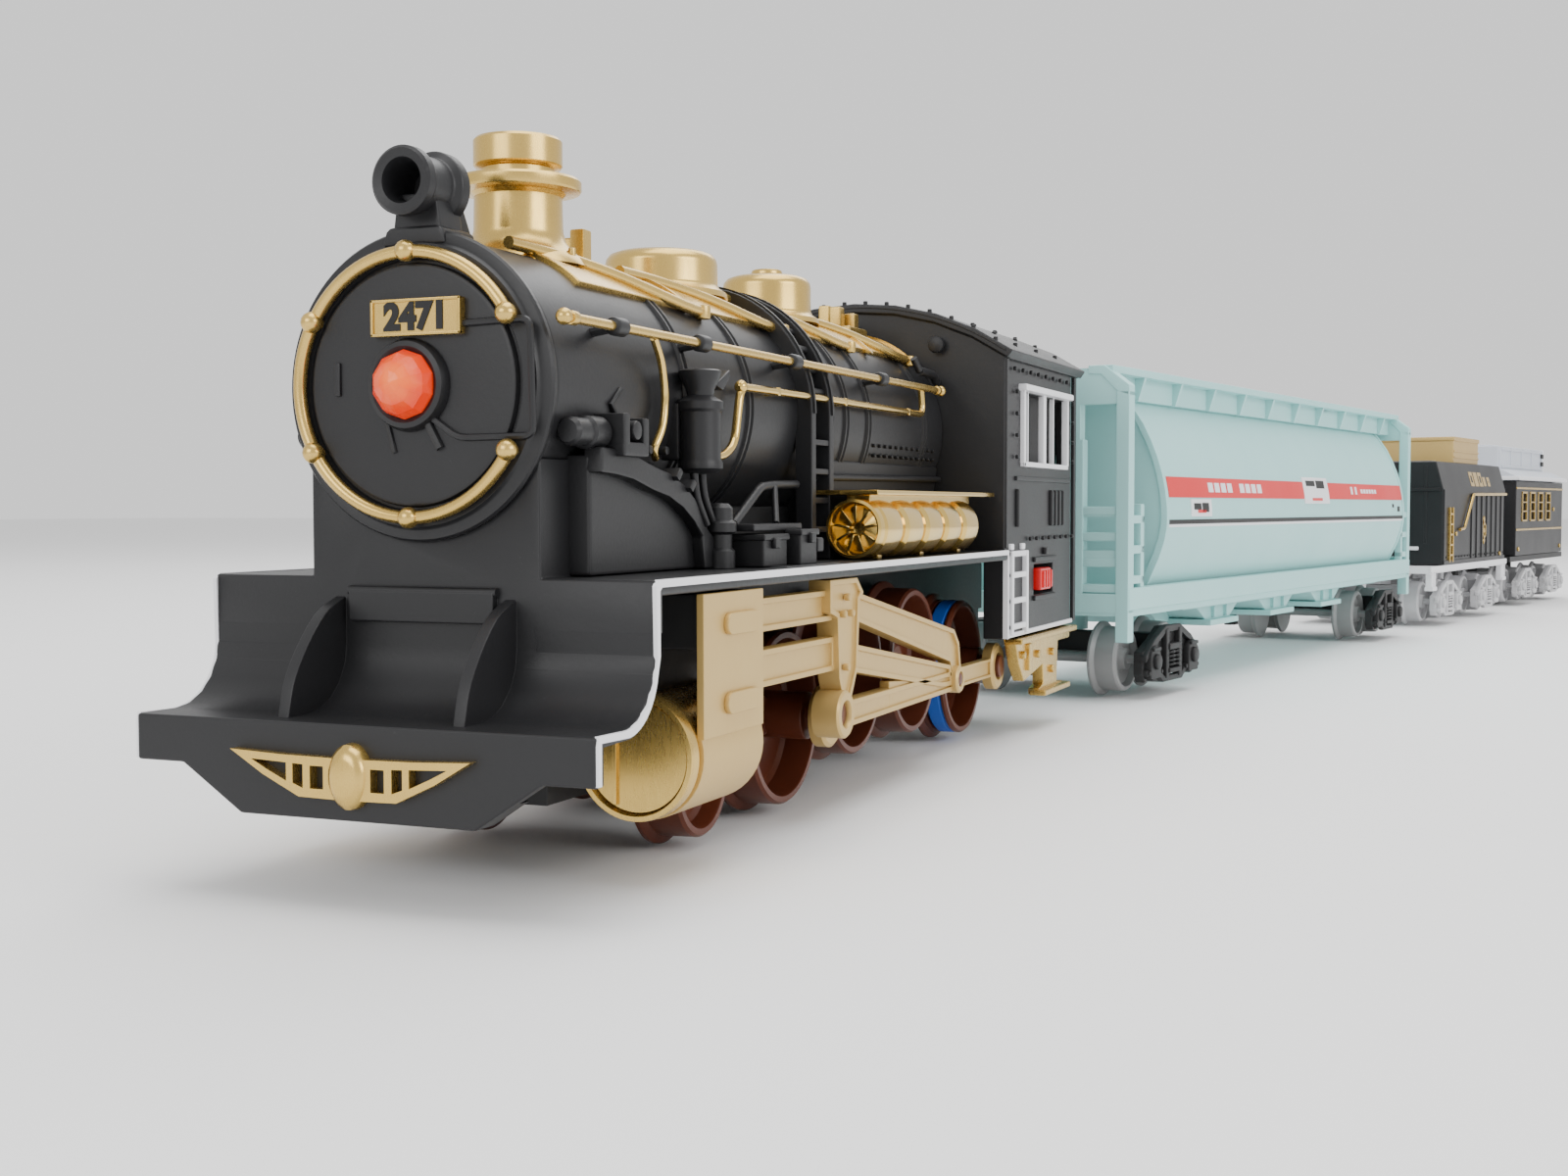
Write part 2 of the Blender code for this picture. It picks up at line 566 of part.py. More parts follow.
def wheels_under_engine(engine):
    """Four driving wheelsets; the last carries the side rods and rubber tyres."""
    for i, x in enumerate(DRIVER_SPOTS):
        lift = IDLE_LIFT if i in (1, 2) else 0.0
        driving_wheelset(f"driving_wheelset_{i + 1}", x, lift, i in (0, 3), i == 3, engine)
    span = DRIVER_SPOTS[3] - DRIVER_SPOTS[0]
    for side, name in ((-1, "left"), (1, "right")):
        y = sorted((side * (ROD_Y - ROD_THICKNESS / 2), side * (ROD_Y + ROD_THICKNESS / 2)))
        pin = datum(f"side_rod_{name}_pin", (DRIVER_SPOTS[3] + CRANK_THROW, 0, DRIVER_RADIUS), parent=engine)
        pieces = [block((-span, 0.0), y, (-1.5, 1.5))]
        cuts = []
        for x in (-span, 0.0):
            pieces.append(cylinder(4.6, *y, centre=(x, 0, 0), sides=12))
            cuts.append(cylinder(CRANK_PIN_RADIUS + GAP, y[0] - 1, y[1] + 1, centre=(x, 0, 0), sides=8))
        node(f"side_rod_{name}", "tan_plastic", pieces, pin, cuts)
        band = sorted((side * (TYRE_SPAN[0] + GAP), side * (TYRE_SPAN[1] - GAP)))
        centre = (DRIVER_SPOTS[3], 0.0, DRIVER_RADIUS)
        widen = 1.0 / math.cos(math.pi / 16)
        tyre = ring((DRIVER_RADIUS - TYRE_DEPTH + GAP) * widen, DRIVER_RADIUS * widen, *band, "Y", centre, 16)
        node(f"traction_tyre_{name}", "blue_rubber", [tyre], engine, origin=centre)


def pony_wheelset(engine):
    spot = (PONY_X, 0.0, PONY_RADIUS)
    mesh = shift(wheelset_mesh(PONY_RADIUS, 2.6, WHEEL_OUTER_Y - 1.4, 12), spot)
    node("pony_wheelset", "brown_plastic", [mesh], engine, origin=spot)


def motor(engine):
    """Motor can on a gearcase that straddles the rear driving axle."""
    x = DRIVER_SPOTS[3]
    case = block((x - 10.0, x + 10.0), (-8.0, 8.0), (9.0, 27.0))
    can = cylinder(7.4, x - 27.0, x - 9.0, "X", (0, 0, 19.4), 16)
    bore = cylinder(AXLE_RADIUS + GAP, -9, 9, centre=(x, 0, DRIVER_RADIUS), sides=12)
    node("motor_gearbox", "steel", [case, can], engine, [bore])


def cab(engine):
    """Cab walls and arched roof, open to the rear, with the power switch in its left side."""
    half, wall = CAB_HALF, 1.8
    rise = CAB_PEAK_Z - CAB_EAVE_Z
    radius = (rise ** 2 + half ** 2) / (2 * rise)
    sweep = math.degrees(math.asin(half / radius))
    centre = (0, CAB_PEAK_Z - radius)
    shell = [(-half, CAB_FLOOR_Z), (half, CAB_FLOOR_Z)] + arc(centre, radius, 90 - sweep, 90 + sweep, 8)
    room = [(-half + wall, CAB_FLOOR_Z + 18.0), (half - wall, CAB_FLOOR_Z + 18.0)]
    room += arc(centre, radius - wall, 90 - sweep * 0.93, 90 + sweep * 0.93, 6)
    rim = arc(centre, radius + 1.2, 90 - sweep * 1.04, 90 + sweep * 1.04, 8)
    rim += arc(centre, radius - 0.6, 90 + sweep * 1.04, 90 - sweep * 1.04, 8)
    walls = prism(shell, CAB_FRONT_X, CAB_REAR_X, "X")
    roof = prism(rim, CAB_FRONT_X - 1.0, CAB_REAR_X + 6.0, "X")
    cuts = [
        prism(room, CAB_FRONT_X + wall, CAB_REAR_X + 5, "X"),
        block((CAB_FRONT_X - 5, CAB_REAR_X + 5), (-26.0, 26.0), (CAB_FLOOR_Z - 1, 34.0)),
        block((174.6, 211.6), (-half - 2, half + 2), (53.0, 66.8)),
        block((184.8, 200.4), (-half - 2, -half + 6), (26.6, 32.6)),
    ]
    node("cab_shell", "black_plastic", [walls, roof], engine, cuts)
    knob = block((185.2, 195.6), (-half - 1.4, -half + 2.0), (27.0, 32.2))
    node("switch_knob", "red_plastic", [knob], engine, origin=(190.4, -half, 29.6))


def cab_steps(engine):
    """Gold footstep hung below each cab side."""
    for side, name in ((-1, "left"), (1, "right")):
        y = sorted((side * 27.4, side * 30.0))
        top = CAB_FLOOR_Z - GAP
        outline = [(172.0, top), (215.0, top), (215.0, 14.6), (208.0, 14.0), (208.0, 5.6)]
        outline += [(188.0, 5.6), (188.0, 12.0), (172.0, 14.0)]
        node(f"cab_step_{name}", "gold_plate", [prism(outline, *y)], engine)


# ---------------------------------------------------------------- wagons

def vehicle_frame(name, look, ends, spots, half, top, parent, extra=()):
    """Floor frame of a wagon with its bogie sockets and draw pins."""
    pieces = [block(ends, (-half, half), (FRAME_BOTTOM_Z, top))]
    holes = []
    for x in spots:
        boss, hole = swivel_socket(x, FRAME_BOTTOM_Z)
        pieces.append(boss)
        holes.append(hole)
    for x in (ends[0] + PIN_INSET, ends[1] - PIN_INSET):
        pieces.append(draw_pin(x, FRAME_BOTTOM_Z))
    node(name, look, pieces + list(extra), parent, holes)


def hopper_cage(ends, half):
    """End posts with their ladders, and the roof walk that joins them."""
    pieces = []
    for x in (ends[0], ends[1] - 3.0):
        depth = (x, x + 3.0)
        for y in (-half, half - 3.0):
            pieces.append(block(depth, (y, y + 3.0), (13.0, 70.5)))
        for y in (-half + 12.0, half - 15.0):
            pieces.append(block(depth, (y, y + 3.0), (22.0, 70.5)))
        for y in (-half + 1.0, half - 14.0):
            for z in (32.0, 42.0):
                pieces.append(block((x + 0.4, x + 2.6), (y, y + 13.0), (z, z + 2.2)))
        arch = [(-half, 68.0), (half, 68.0), (half, 70.8), (19.0, 76.4), (-19.0, 76.4), (-half, 70.8)]
        pieces.append(prism(arch, *depth, "X"))
    for y in (-20.0, 18.0):
        pieces.append(block(ends, (y, y + 2.0), (74.4, 76.4)))
    return pieces


def mirrored(side):
    """Closed outline from its +Y half, listed from the bottom up."""
    return side + [(-y, z) for y, z in reversed(side)]


def hopper(parent):
    """Covered hopper: curved body in a cage of end posts and a roof walk."""
    half = 27.0
    cage = hopper_cage(HOPPER_FRAME, half)
    cage.append(prism([(30.0, 20.0), (42.0, 13.8), (184.0, 13.8), (198.0, 20.0)], -12.0, 12.0))
    vehicle_frame("hopper_frame", "aqua_plastic", HOPPER_FRAME, HOPPER_BOGIES, half, 22.0, parent, cage)
    outer = [(22.0, 22.3), (27.6, 34.0), (28.6, 41.0), (28.0, 50.0), (25.0, 59.0), (20.4, 67.0), (15.0, 73.0)]
    inner = [(20.4, 21.0), (26.0, 34.0), (27.0, 41.0), (26.4, 50.0), (23.5, 58.4), (19.2, 65.8), (14.0, 71.4)]
    body = prism(mirrored(outer), *HOPPER_BODY, "X")
    hollow = prism(mirrored(inner), HOPPER_BODY[0] + 1.6, HOPPER_BODY[1] - 1.6, "X")
    node("hopper_body", "aqua_plastic", [body], parent, [hollow])
    running_gear("hopper", HOPPER_BOGIES, "black_plastic", "grey_plastic", parent)


def tender(parent):
    """Coal tender: shouldered tank, a load box on top and a pale underframe."""
    start, stop = TENDER_FRAME
    steps = []
    for x in (start + 1.5, stop - 8.0):
        for side in (-1, 1):
            steps.append(block((x, x + 5.0), sorted((side * 24.4, side * 26.4)), (13.0, 20.0)))
    vehicle_frame("tender_frame", "pale_plastic", TENDER_FRAME, TENDER_BOGIES, 26.4, 21.4, parent, steps)
    ends = (start + 20.0, stop - 2.0)
    tank = prism(mirrored([(26.0, 21.7), (26.0, 51.0), (23.0, 62.0)]), *ends, "X")
    hollow = prism(mirrored([(24.4, 20.0), (24.4, 50.5), (21.6, 60.4)]), ends[0] + 1.6, ends[1] - 1.6, "X")
    node("tender_body", "black_plastic", [tank], parent, [hollow])
    load = block((44.0, 86.0), (-20.0, 20.0), (62.0 + GAP, 72.6))
    node("tender_load", "tan_plastic", [load], parent)
    running_gear("tender", TENDER_BOGIES, "silver_plastic", "silver_plastic", parent)


def coach(parent):
    """Passenger coach: windowed body, pale roof with a raised vent unit."""
    ends = (COACH_FRAME[0] + 6.0, COACH_FRAME[1] - 6.0)
    vehicle_frame("coach_frame", "black_plastic", COACH_FRAME, COACH_BOGIES, 25.0, 21.4, parent)
    body = block(ends, (-26.0, 26.0), (21.4 + GAP, 56.0))
    cuts = [block((ends[0] + 2, ends[1] - 2), (-24.0, 24.0), (24.0, 58.0))]
    for i in range(4):
        x = ends[0] + 12.0 + i * 17.0
        cuts.append(block((x, x + 9.0), (-30.0, 30.0), (38.0, 50.5)))
    node("coach_body", "black_plastic", [body], parent, cuts)
    eave = [(-27.4, 56.0 + GAP), (27.4, 56.0 + GAP), (27.4, 57.8), (20.0, 61.4), (-20.0, 61.4), (-27.4, 57.8)]
    roof = prism(eave, ends[0] - 1.5, ends[1] + 1.5, "X")
    unit = block((ends[0] + 4.0, ends[1] - 2.0), (-17.0, 17.0), (60.0, 72.4))
    hollow = block((ends[0] + 5.6, ends[1] - 3.6), (-15.4, 15.4), (50.0, 70.8))
    node("coach_roof", "pale_plastic", [roof, unit], parent, [hollow])
    running_gear("coach", COACH_BOGIES, "silver_plastic", "silver_plastic", parent)


def vehicle_point(spot, along):
    """Point on a vehicle's centre line, in the engine's frame."""
    heading = math.radians(spot[2])
    return (spot[0] + along * math.cos(heading), spot[1] + along * math.sin(heading))


def main():
    clear_scene()
    train = datum("train_datum", (-TRAIN_MIDDLE[0], -TRAIN_MIDDLE[1], FLANGE_DEPTH))
    for build in (loco_chassis, running_plate, boiler, smokebox_door, door_ring, front_fittings, headlamp,
                  chimney, dome_strip, handrails, air_tanks, valve_gear, wheels_under_engine,
                  pony_wheelset, motor, cab, cab_steps):
        build(train)
    hitch = (DRAW_PIN_X, 0.0)
    vehicles = (
        ("hopper", HOPPER_SPOT, HOPPER_FRAME, hopper),
        ("tender", TENDER_SPOT, TENDER_FRAME, tender),
        ("coach", COACH_SPOT, COACH_FRAME, coach),
    )
    for name, spot, ends, build in vehicles:
        front = vehicle_point(spot, ends[0] + PIN_INSET)
        drawbar(f"{name}_drawbar", hitch, front, train)
        build(datum(f"{name}_datum", (spot[0], spot[1], 0.0), spot[2], train))
        hitch = vehicle_point(spot, ends[1] - PIN_INSET)


main()
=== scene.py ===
"""Toy steam train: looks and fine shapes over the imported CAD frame, lengths in mm."""
import json
import math

import bpy
from mathutils import Matrix, Vector

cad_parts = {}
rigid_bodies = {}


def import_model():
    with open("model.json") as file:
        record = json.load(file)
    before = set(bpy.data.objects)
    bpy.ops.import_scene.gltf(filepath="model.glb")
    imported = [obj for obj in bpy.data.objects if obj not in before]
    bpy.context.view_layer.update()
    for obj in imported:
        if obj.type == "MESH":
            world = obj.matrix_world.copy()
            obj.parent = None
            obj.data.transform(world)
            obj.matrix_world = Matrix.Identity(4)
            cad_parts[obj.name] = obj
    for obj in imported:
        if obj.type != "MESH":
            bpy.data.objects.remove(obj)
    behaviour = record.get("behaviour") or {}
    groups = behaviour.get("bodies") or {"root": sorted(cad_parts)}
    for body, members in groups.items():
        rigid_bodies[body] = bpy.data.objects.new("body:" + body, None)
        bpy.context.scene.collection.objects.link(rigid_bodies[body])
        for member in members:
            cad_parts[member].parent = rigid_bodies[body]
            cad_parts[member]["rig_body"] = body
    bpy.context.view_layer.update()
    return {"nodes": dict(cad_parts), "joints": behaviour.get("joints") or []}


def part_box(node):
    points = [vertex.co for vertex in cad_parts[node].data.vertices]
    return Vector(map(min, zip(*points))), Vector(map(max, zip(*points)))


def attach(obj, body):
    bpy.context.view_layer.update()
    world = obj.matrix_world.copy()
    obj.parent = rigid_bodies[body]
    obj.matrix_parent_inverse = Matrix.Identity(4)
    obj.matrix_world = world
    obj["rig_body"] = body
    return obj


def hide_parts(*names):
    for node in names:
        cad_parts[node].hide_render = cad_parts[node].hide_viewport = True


MM = 0.001
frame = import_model()

SIDES = ((-1, "left"), (1, "right"))
BOILER_Z = 58.7
BOILER_RADIUS = 17.9
BEAM_HALF = 31.0
CAB_HALF = 30.2
DRIVER_RADIUS = 13.0
DRIVER_AXLES = (78.9, 109.2, 139.5, 169.8)
LIFTED_AXLES = (1, 2)
LIFT = 3.6
CRANK_AXLES = (0, 3)
CRANK_THROW = 3.0
WHEEL_BACK = -13.2
WHEEL_FACE = -20.0
BOGIE_HALF_BASE = 13.0
CYLINDER_Z = 14.3
RAIL_Y = -20.1
RAIL_Z = 66.0
CAMERA_SPOT = (-163.88, -120.85, 44.17)
CAMERA_TURN = (87.41, 0.1, -67.38)
CAMERA_LENS = 40.57
AXES = {"X": Vector((1, 0, 0)), "Y": Vector((0, 1, 0)), "Z": Vector((0, 0, 1))}


# ---------------------------------------------------------------- places

def joint_spot(name):
    """Where a joint turns, at rest."""
    return Vector(next(j["pos_m"] for j in frame["joints"] if j["name"] == name))


def engine_place():
    """Buffer beam's front on the centre line, at the height of the rail head."""
    low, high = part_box("loco_chassis")
    axle = joint_spot("driving_axle_4_spin")
    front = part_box("running_plate")[0].x
    return Matrix.Translation((front, (low.y + high.y) / 2, axle.z - DRIVER_RADIUS * MM))


def vehicle_place(vehicle):
    """First axle of a wagon, with its length along X."""
    front = joint_spot(f"{vehicle}_front_bogie_swivel")
    rear = joint_spot(f"{vehicle}_rear_bogie_swivel")
    along = (rear - front).normalized()
    start = front - along * BOGIE_HALF_BASE * MM
    level = joint_spot("driving_axle_4_spin").z - DRIVER_RADIUS * MM
    turn = Matrix.Rotation(math.atan2(along.y, along.x), 4, "Z")
    return Matrix.Translation((start.x, start.y, level)) @ turn


ENGINE = engine_place()
HOPPER = vehicle_place("hopper")
TENDER = vehicle_place("tender")
COACH = vehicle_place("coach")


# ---------------------------------------------------------------- shader sums

class Flow:
    """One socket of a material, which can be used in sums."""

    def __init__(self, tree, socket):
        self.tree = tree
        self.socket = socket

    def sum(self, operation, first, second):
        step = self.tree.nodes.new("ShaderNodeMath")
        step.operation = operation
        for slot, value in zip(step.inputs, (first, second)):
            if isinstance(value, Flow):
                self.tree.links.new(value.socket, slot)
            else:
                slot.default_value = value
        return Flow(self.tree, step.outputs[0])

    def __add__(self, other):
        return self.sum("ADD", self, other)

    def __mul__(self, other):
        return self.sum("MULTIPLY", self, other)

    def __sub__(self, other):
        return self.sum("SUBTRACT", self, other)

    def __rsub__(self, other):
        return self.sum("SUBTRACT", other, self)

    def __gt__(self, other):
        return self.sum("GREATER_THAN", self, other)

    def __pow__(self, other):
        return self.sum("POWER", self, other)

    __radd__ = __add__
    __rmul__ = __mul__


class Finish:
    """A material under construction."""

    def __init__(self, name):
        self.material = bpy.data.materials.new(name)
        self.material.use_nodes = True
        self.tree = self.material.node_tree
        self.shader = self.tree.nodes["Principled BSDF"]
        coordinates = self.tree.nodes.new("ShaderNodeTexCoord")
        self.spot = Flow(self.tree, coordinates.outputs["Object"])

    def node(self, kind, settings=None, inputs=None, output=0):
        made = self.tree.nodes.new(kind)
        for key, value in (settings or {}).items():
            if key == "stops":
                for element, (position, colour) in zip(made.color_ramp.elements, value):
                    element.position = position
                    element.color = (*colour, 1)
            else:
                setattr(made, key, value)
        for key, value in (inputs or {}).items():
            if isinstance(value, Flow):
                self.tree.links.new(value.socket, made.inputs[key])
            else:
                made.inputs[key].default_value = value
        return Flow(self.tree, made.outputs[output])

    def stretched(self, scale):
        return self.node("ShaderNodeMapping", None, {"Vector": self.spot, "Scale": scale})

    def noise(self, scale, detail=3.0, roughness=0.6, vector=None):
        values = {"Vector": vector or self.spot, "Scale": scale, "Detail": detail, "Roughness": roughness}
        return self.node("ShaderNodeTexNoise", None, values)

    def blend(self, share, first, second):
        colours = {"Factor": share, "A": (*first, 1) if isinstance(first, tuple) else first,
                   "B": (*second, 1) if isinstance(second, tuple) else second}
        made = self.tree.nodes.new("ShaderNodeMix")
        made.data_type = "RGBA"
        named = {"Factor": made.inputs[0], "A": made.inputs[6], "B": made.inputs[7]}
        for key, value in colours.items():
            if isinstance(value, Flow):
                self.tree.links.new(value.socket, named[key])
            else:
                named[key].default_value = value
        return Flow(self.tree, made.outputs[2])

    def feed(self, **values):
        for key, value in values.items():
            socket = self.shader.inputs[key.replace("_", " ")]
            if isinstance(value, Flow):
                self.tree.links.new(value.socket, socket)
            else:
                socket.default_value = value

    def bumps(self, height, strength, distance=0.00006):
        made = {"Strength": strength, "Distance": distance, "Height": height}
        self.feed(Normal=self.node("ShaderNodeBump", None, made))


def moulded(name, colour, shade, dust, rough, grain=0.25, coat=0.0):
    """Injection-moulded plastic: faint flow clouds, fine mould texture, scuffs and a little dust."""
    made = Finish(name)
    clouds = made.noise(38.0, 2.0)
    fine = made.noise(1900.0, 3.0)
    scuffs = made.noise(160.0, 6.0, 0.75, made.stretched((1.0, 3.0, 6.0)))
    rubbed = (scuffs > 0.66) * 0.35
    base = made.blend(clouds, colour, shade)
    specks = made.noise(620.0, 5.0, 0.8)
    dusty = (specks > 0.68) * 0.3 + rubbed * 0.2
    made.feed(Base_Color=made.blend(dusty, base, dust))
    made.feed(Roughness=clouds * 0.16 + fine * 0.10 + rubbed * 0.18 + (rough - 0.13))
    made.feed(Coat_Weight=coat, Coat_Roughness=0.25, Specular_IOR_Level=0.36)
    made.bumps(fine + scuffs * 0.6, grain)
    return made


def plated(name, colour, shade, metallic, rough, streaks=(2.0, 2.0, 0.4)):
    """Gold finish over plastic: cloudy tone, fine polishing streaks, small pits and worn spots."""
    made = Finish(name)
    clouds = made.noise(55.0, 3.0)
    lines = made.noise(900.0, 4.0, 0.7, made.stretched(streaks))
    pits = made.noise(1400.0, 2.0)
    worn = (made.noise(210.0, 6.0, 0.75) > 0.7) * 0.4
    base = made.blend(clouds, colour, shade)
    made.feed(Base_Color=made.blend(worn, base, tuple(c * 0.86 for c in colour)))
    made.feed(Metallic=metallic - worn * 0.25)
    made.feed(Roughness=lines * 0.14 + clouds * 0.10 + worn * 0.12 + (rough - 0.12))
    made.bumps(lines * 0.7 + pits * 0.5, 0.03)
    return made


def rubbery(name, colour, shade):
    """Soft tyre rubber with a fine tooth and pale bloom."""
    made = Finish(name)
    clouds = made.noise(70.0, 3.0)
    tooth = made.noise(2600.0, 4.0, 0.8)
    made.feed(Base_Color=made.blend(clouds * 0.8, colour, shade))
    made.feed(Roughness=tooth * 0.2 + 0.42)
    made.bumps(tooth, 0.5)
    return made


def glowing_lens():
    """Faceted red lens whose emission gives a dim red glow, painted glints on its facets and a painted
    bright highlight at its centre.
    """
    made = Finish("red_lens")
    cells = made.node("ShaderNodeTexVoronoi", {"feature": "F1"}, {"Vector": made.spot, "Scale": 480.0})
    middle = ENGINE @ (Vector((9.4, -0.3, BOILER_Z + 0.3)) * MM)
    reach = made.node("ShaderNodeVectorMath", {"operation": "DISTANCE"}, {0: made.spot, 1: middle}, "Value")
    # Painted highlight: the emission turns bright orange towards the centre of the lens.
    painted_highlight_centre = made.node("ShaderNodeMapRange", {"interpolation_type": "SMOOTHSTEP"},
                     {"Value": reach + made.noise(420.0, 2.0) * 0.0014, "From Min": 0.0044,
                      "From Max": 0.0016})
    made.feed(Base_Color=made.blend(cells, (0.58, 0.018, 0.001), (0.68, 0.045, 0.003)))
    # Emission that changes from facet to facet paints glints on the lens.
    glow_with_painted_glints = made.blend(cells * 0.9, (0.50, 0.025, 0.001), (0.25, 0.006, 0.001))
    made.feed(Emission_Color=made.blend(painted_highlight_centre, glow_with_painted_glints, (1.0, 0.42, 0.06)), Emission_Strength=0.7)
    made.feed(Roughness=cells * 0.2 + 0.16, Coat_Weight=0.15, Coat_Roughness=0.08, Specular_IOR_Level=0.35)
    made.bumps(cells, 0.4, 0.0003)
    return made


FINISHES = {
    "black": moulded("satin_black", (0.0095, 0.0095, 0.0103), (0.014, 0.014, 0.0155), (0.04, 0.04, 0.04),
                     0.42),
    "underframe": moulded("underframe_black", (0.009, 0.009, 0.010), (0.018, 0.018, 0.018),
                          (0.05, 0.05, 0.05), 0.5),
    "gold": plated("gold_plate", (0.56, 0.365, 0.090), (0.68, 0.475, 0.150), 0.9, 0.27),
    "polished_gold": plated("polished_gold", (0.64, 0.42, 0.10), (0.78, 0.56, 0.19), 0.95, 0.16),
    "tan": plated("tan_gold", (0.49, 0.325, 0.105), (0.56, 0.39, 0.145), 0.40, 0.40),
    "brown": moulded("wheel_brown", (0.110, 0.026, 0.011), (0.075, 0.018, 0.008), (0.20, 0.09, 0.06), 0.38),
    "blue": rubbery("tyre_blue", (0.006, 0.085, 0.50), (0.015, 0.14, 0.62)),
    "lens": glowing_lens(),
    "red": moulded("switch_red", (0.66, 0.006, 0.008), (0.54, 0.004, 0.006), (0.8, 0.2, 0.2), 0.32, 0.12,
                   0.3),
    "aqua": moulded("wagon_aqua", (0.365, 0.640, 0.625), (0.330, 0.600, 0.590), (0.55, 0.74, 0.72), 0.44,
                    0.16),
    "grey": moulded("wheel_grey", (0.22, 0.22, 0.22), (0.29, 0.29, 0.29), (0.42, 0.42, 0.42), 0.36),
    "silver": moulded("bogie_silver", (0.42, 0.42, 0.43), (0.52, 0.52, 0.53), (0.62, 0.62, 0.62), 0.36,
                      0.2, 0.2),
    "pale": moulded("roof_pale", (0.50, 0.53, 0.58), (0.58, 0.61, 0.66), (0.66, 0.68, 0.70), 0.42),
    "white": moulded("trim_white", (0.80, 0.80, 0.82), (0.72, 0.72, 0.74), (0.6, 0.6, 0.6), 0.34, 0.1),
    "steel": plated("bare_steel", (0.50, 0.50, 0.52), (0.62, 0.62, 0.64), 1.0, 0.34),
    "stripe": moulded("stripe_red", (0.70, 0.012, 0.012), (0.62, 0.010, 0.012), (0.75, 0.15, 0.12), 0.4,
                      0.08),
    "ink": moulded("print_black", (0.004, 0.004, 0.004), (0.007, 0.007, 0.007), (0.03, 0.03, 0.03), 0.5,
                   0.08),
}


# ---------------------------------------------------------------- modelling tools

def fresh():
    """Nothing selected, object mode."""
    if bpy.context.object and bpy.context.object.mode != "OBJECT":
        bpy.ops.object.mode_set(mode="OBJECT")
    bpy.ops.object.select_all(action="DESELECT")


def choose(*pieces):
    fresh()
    for piece in pieces:
        piece.select_set(True)
    bpy.context.view_layer.objects.active = pieces[0]


def in_edit(piece, *steps):
    """Runs mesh operators on the whole of one piece."""
    choose(piece)
    bpy.ops.object.mode_set(mode="EDIT")
    bpy.ops.mesh.select_all(action="SELECT")
    for step in steps:
        step()
    bpy.ops.object.mode_set(mode="OBJECT")
    return piece


def merged(piece, gap=0.01):
    """Doubles gone and faces outwards."""
    return in_edit(piece, lambda: bpy.ops.mesh.remove_doubles(threshold=gap * MM),
                   lambda: bpy.ops.mesh.normals_make_consistent(inside=False))


def with_modifier(piece, kind, **settings):
    choose(piece)
    added = piece.modifiers.new("step", kind)
    for key, value in settings.items():
        setattr(added, key, value)
    bpy.ops.object.modifier_apply(modifier=added.name)
    return piece


def softened(piece, width=0.3, segments=2, angle=35.0):
    """Rounds the edges that are sharper than the angle."""
    return with_modifier(piece, "BEVEL", width=width * MM, segments=segments,
                         limit_method="ANGLE", angle_limit=math.radians(angle))


def outlined(points, low, high, axis="Y", soft=0.25):
    """A flat shape cut to an outline in the plane across the axis, with its edges softened."""
    fresh()
    bpy.ops.mesh.primitive_circle_add(vertices=len(points), radius=1.0, fill_type="NGON")
    piece = bpy.context.object
    for vertex, (u, v) in zip(piece.data.vertices, points):
        spot = {"X": (low, u, v), "Y": (u, low, v), "Z": (u, v, low)}[axis]
        vertex.co = Vector(spot) * MM
    run = AXES[axis] * (high - low) * MM
    in_edit(piece, lambda: bpy.ops.mesh.extrude_region_move(TRANSFORM_OT_translate={"value": run}),
            lambda: bpy.ops.mesh.select_all(action="SELECT"),
            lambda: bpy.ops.mesh.normals_make_consistent(inside=False))
    return softened(piece, soft) if soft else piece


def slab(x, y, z, soft=0.25, segments=2):
    """A block with softened edges."""
    fresh()
    middle = Vector([(a + b) / 2 for a, b in (x, y, z)]) * MM
    bpy.ops.mesh.primitive_cube_add(size=1.0, location=middle)
    piece = bpy.context.object
    piece.scale = Vector([abs(b - a) for a, b in (x, y, z)]) * MM
    bpy.ops.object.transform_apply(location=True, rotation=True, scale=True)
    return softened(piece, soft, segments) if soft else piece


def turned(profile, centre=(0, 0, 0), axis="X", steps=48, closed=False, soft=0.0):
    """A shape spun round an axis from its (radius, along) profile."""
    fresh()
    bpy.ops.mesh.primitive_circle_add(vertices=len(profile), radius=1.0, fill_type="NOTHING")
    piece = bpy.context.object
    middle = Vector(centre)
    side = AXES["Z"] if axis != "Z" else AXES["X"]
    for vertex, (radius, along) in zip(piece.data.vertices, profile):
        flat = middle + side * radius
        spot = flat + AXES[axis] * (along - flat.dot(AXES[axis]))
        vertex.co = spot * MM
    if not closed:
        last = len(profile) - 1
        for edge in piece.data.edges:
            edge.select = set(edge.vertices) == {0, last}
        for vertex in piece.data.vertices:
            vertex.select = False
        choose(piece)
        bpy.ops.object.mode_set(mode="EDIT")
        bpy.ops.mesh.select_mode(type="EDGE")
        bpy.ops.mesh.delete(type="EDGE_FACE")
        bpy.ops.mesh.select_mode(type="VERT")
        bpy.ops.object.mode_set(mode="OBJECT")
    pivot = middle * MM
    in_edit(piece, lambda: bpy.ops.mesh.spin(steps=steps, angle=math.tau, center=pivot, axis=AXES[axis]))
    merged(piece)
    return softened(piece, soft, 2, 28.0) if soft else piece


def disc(radius, low, high, centre, axis="Y", steps=24, soft=0.2):
    """A short round boss with a softened rim."""
    edge = min(soft, radius * 0.4, abs(high - low) * 0.4)
    profile = [(0, low), (radius - edge, low), (radius - edge * 0.3, low + edge * 0.3),
               (radius, low + edge),
               (radius, high - edge), (radius - edge * 0.3, high - edge * 0.3), (radius - edge, high),
               (0, high)]
    return turned(profile, centre, axis, steps)


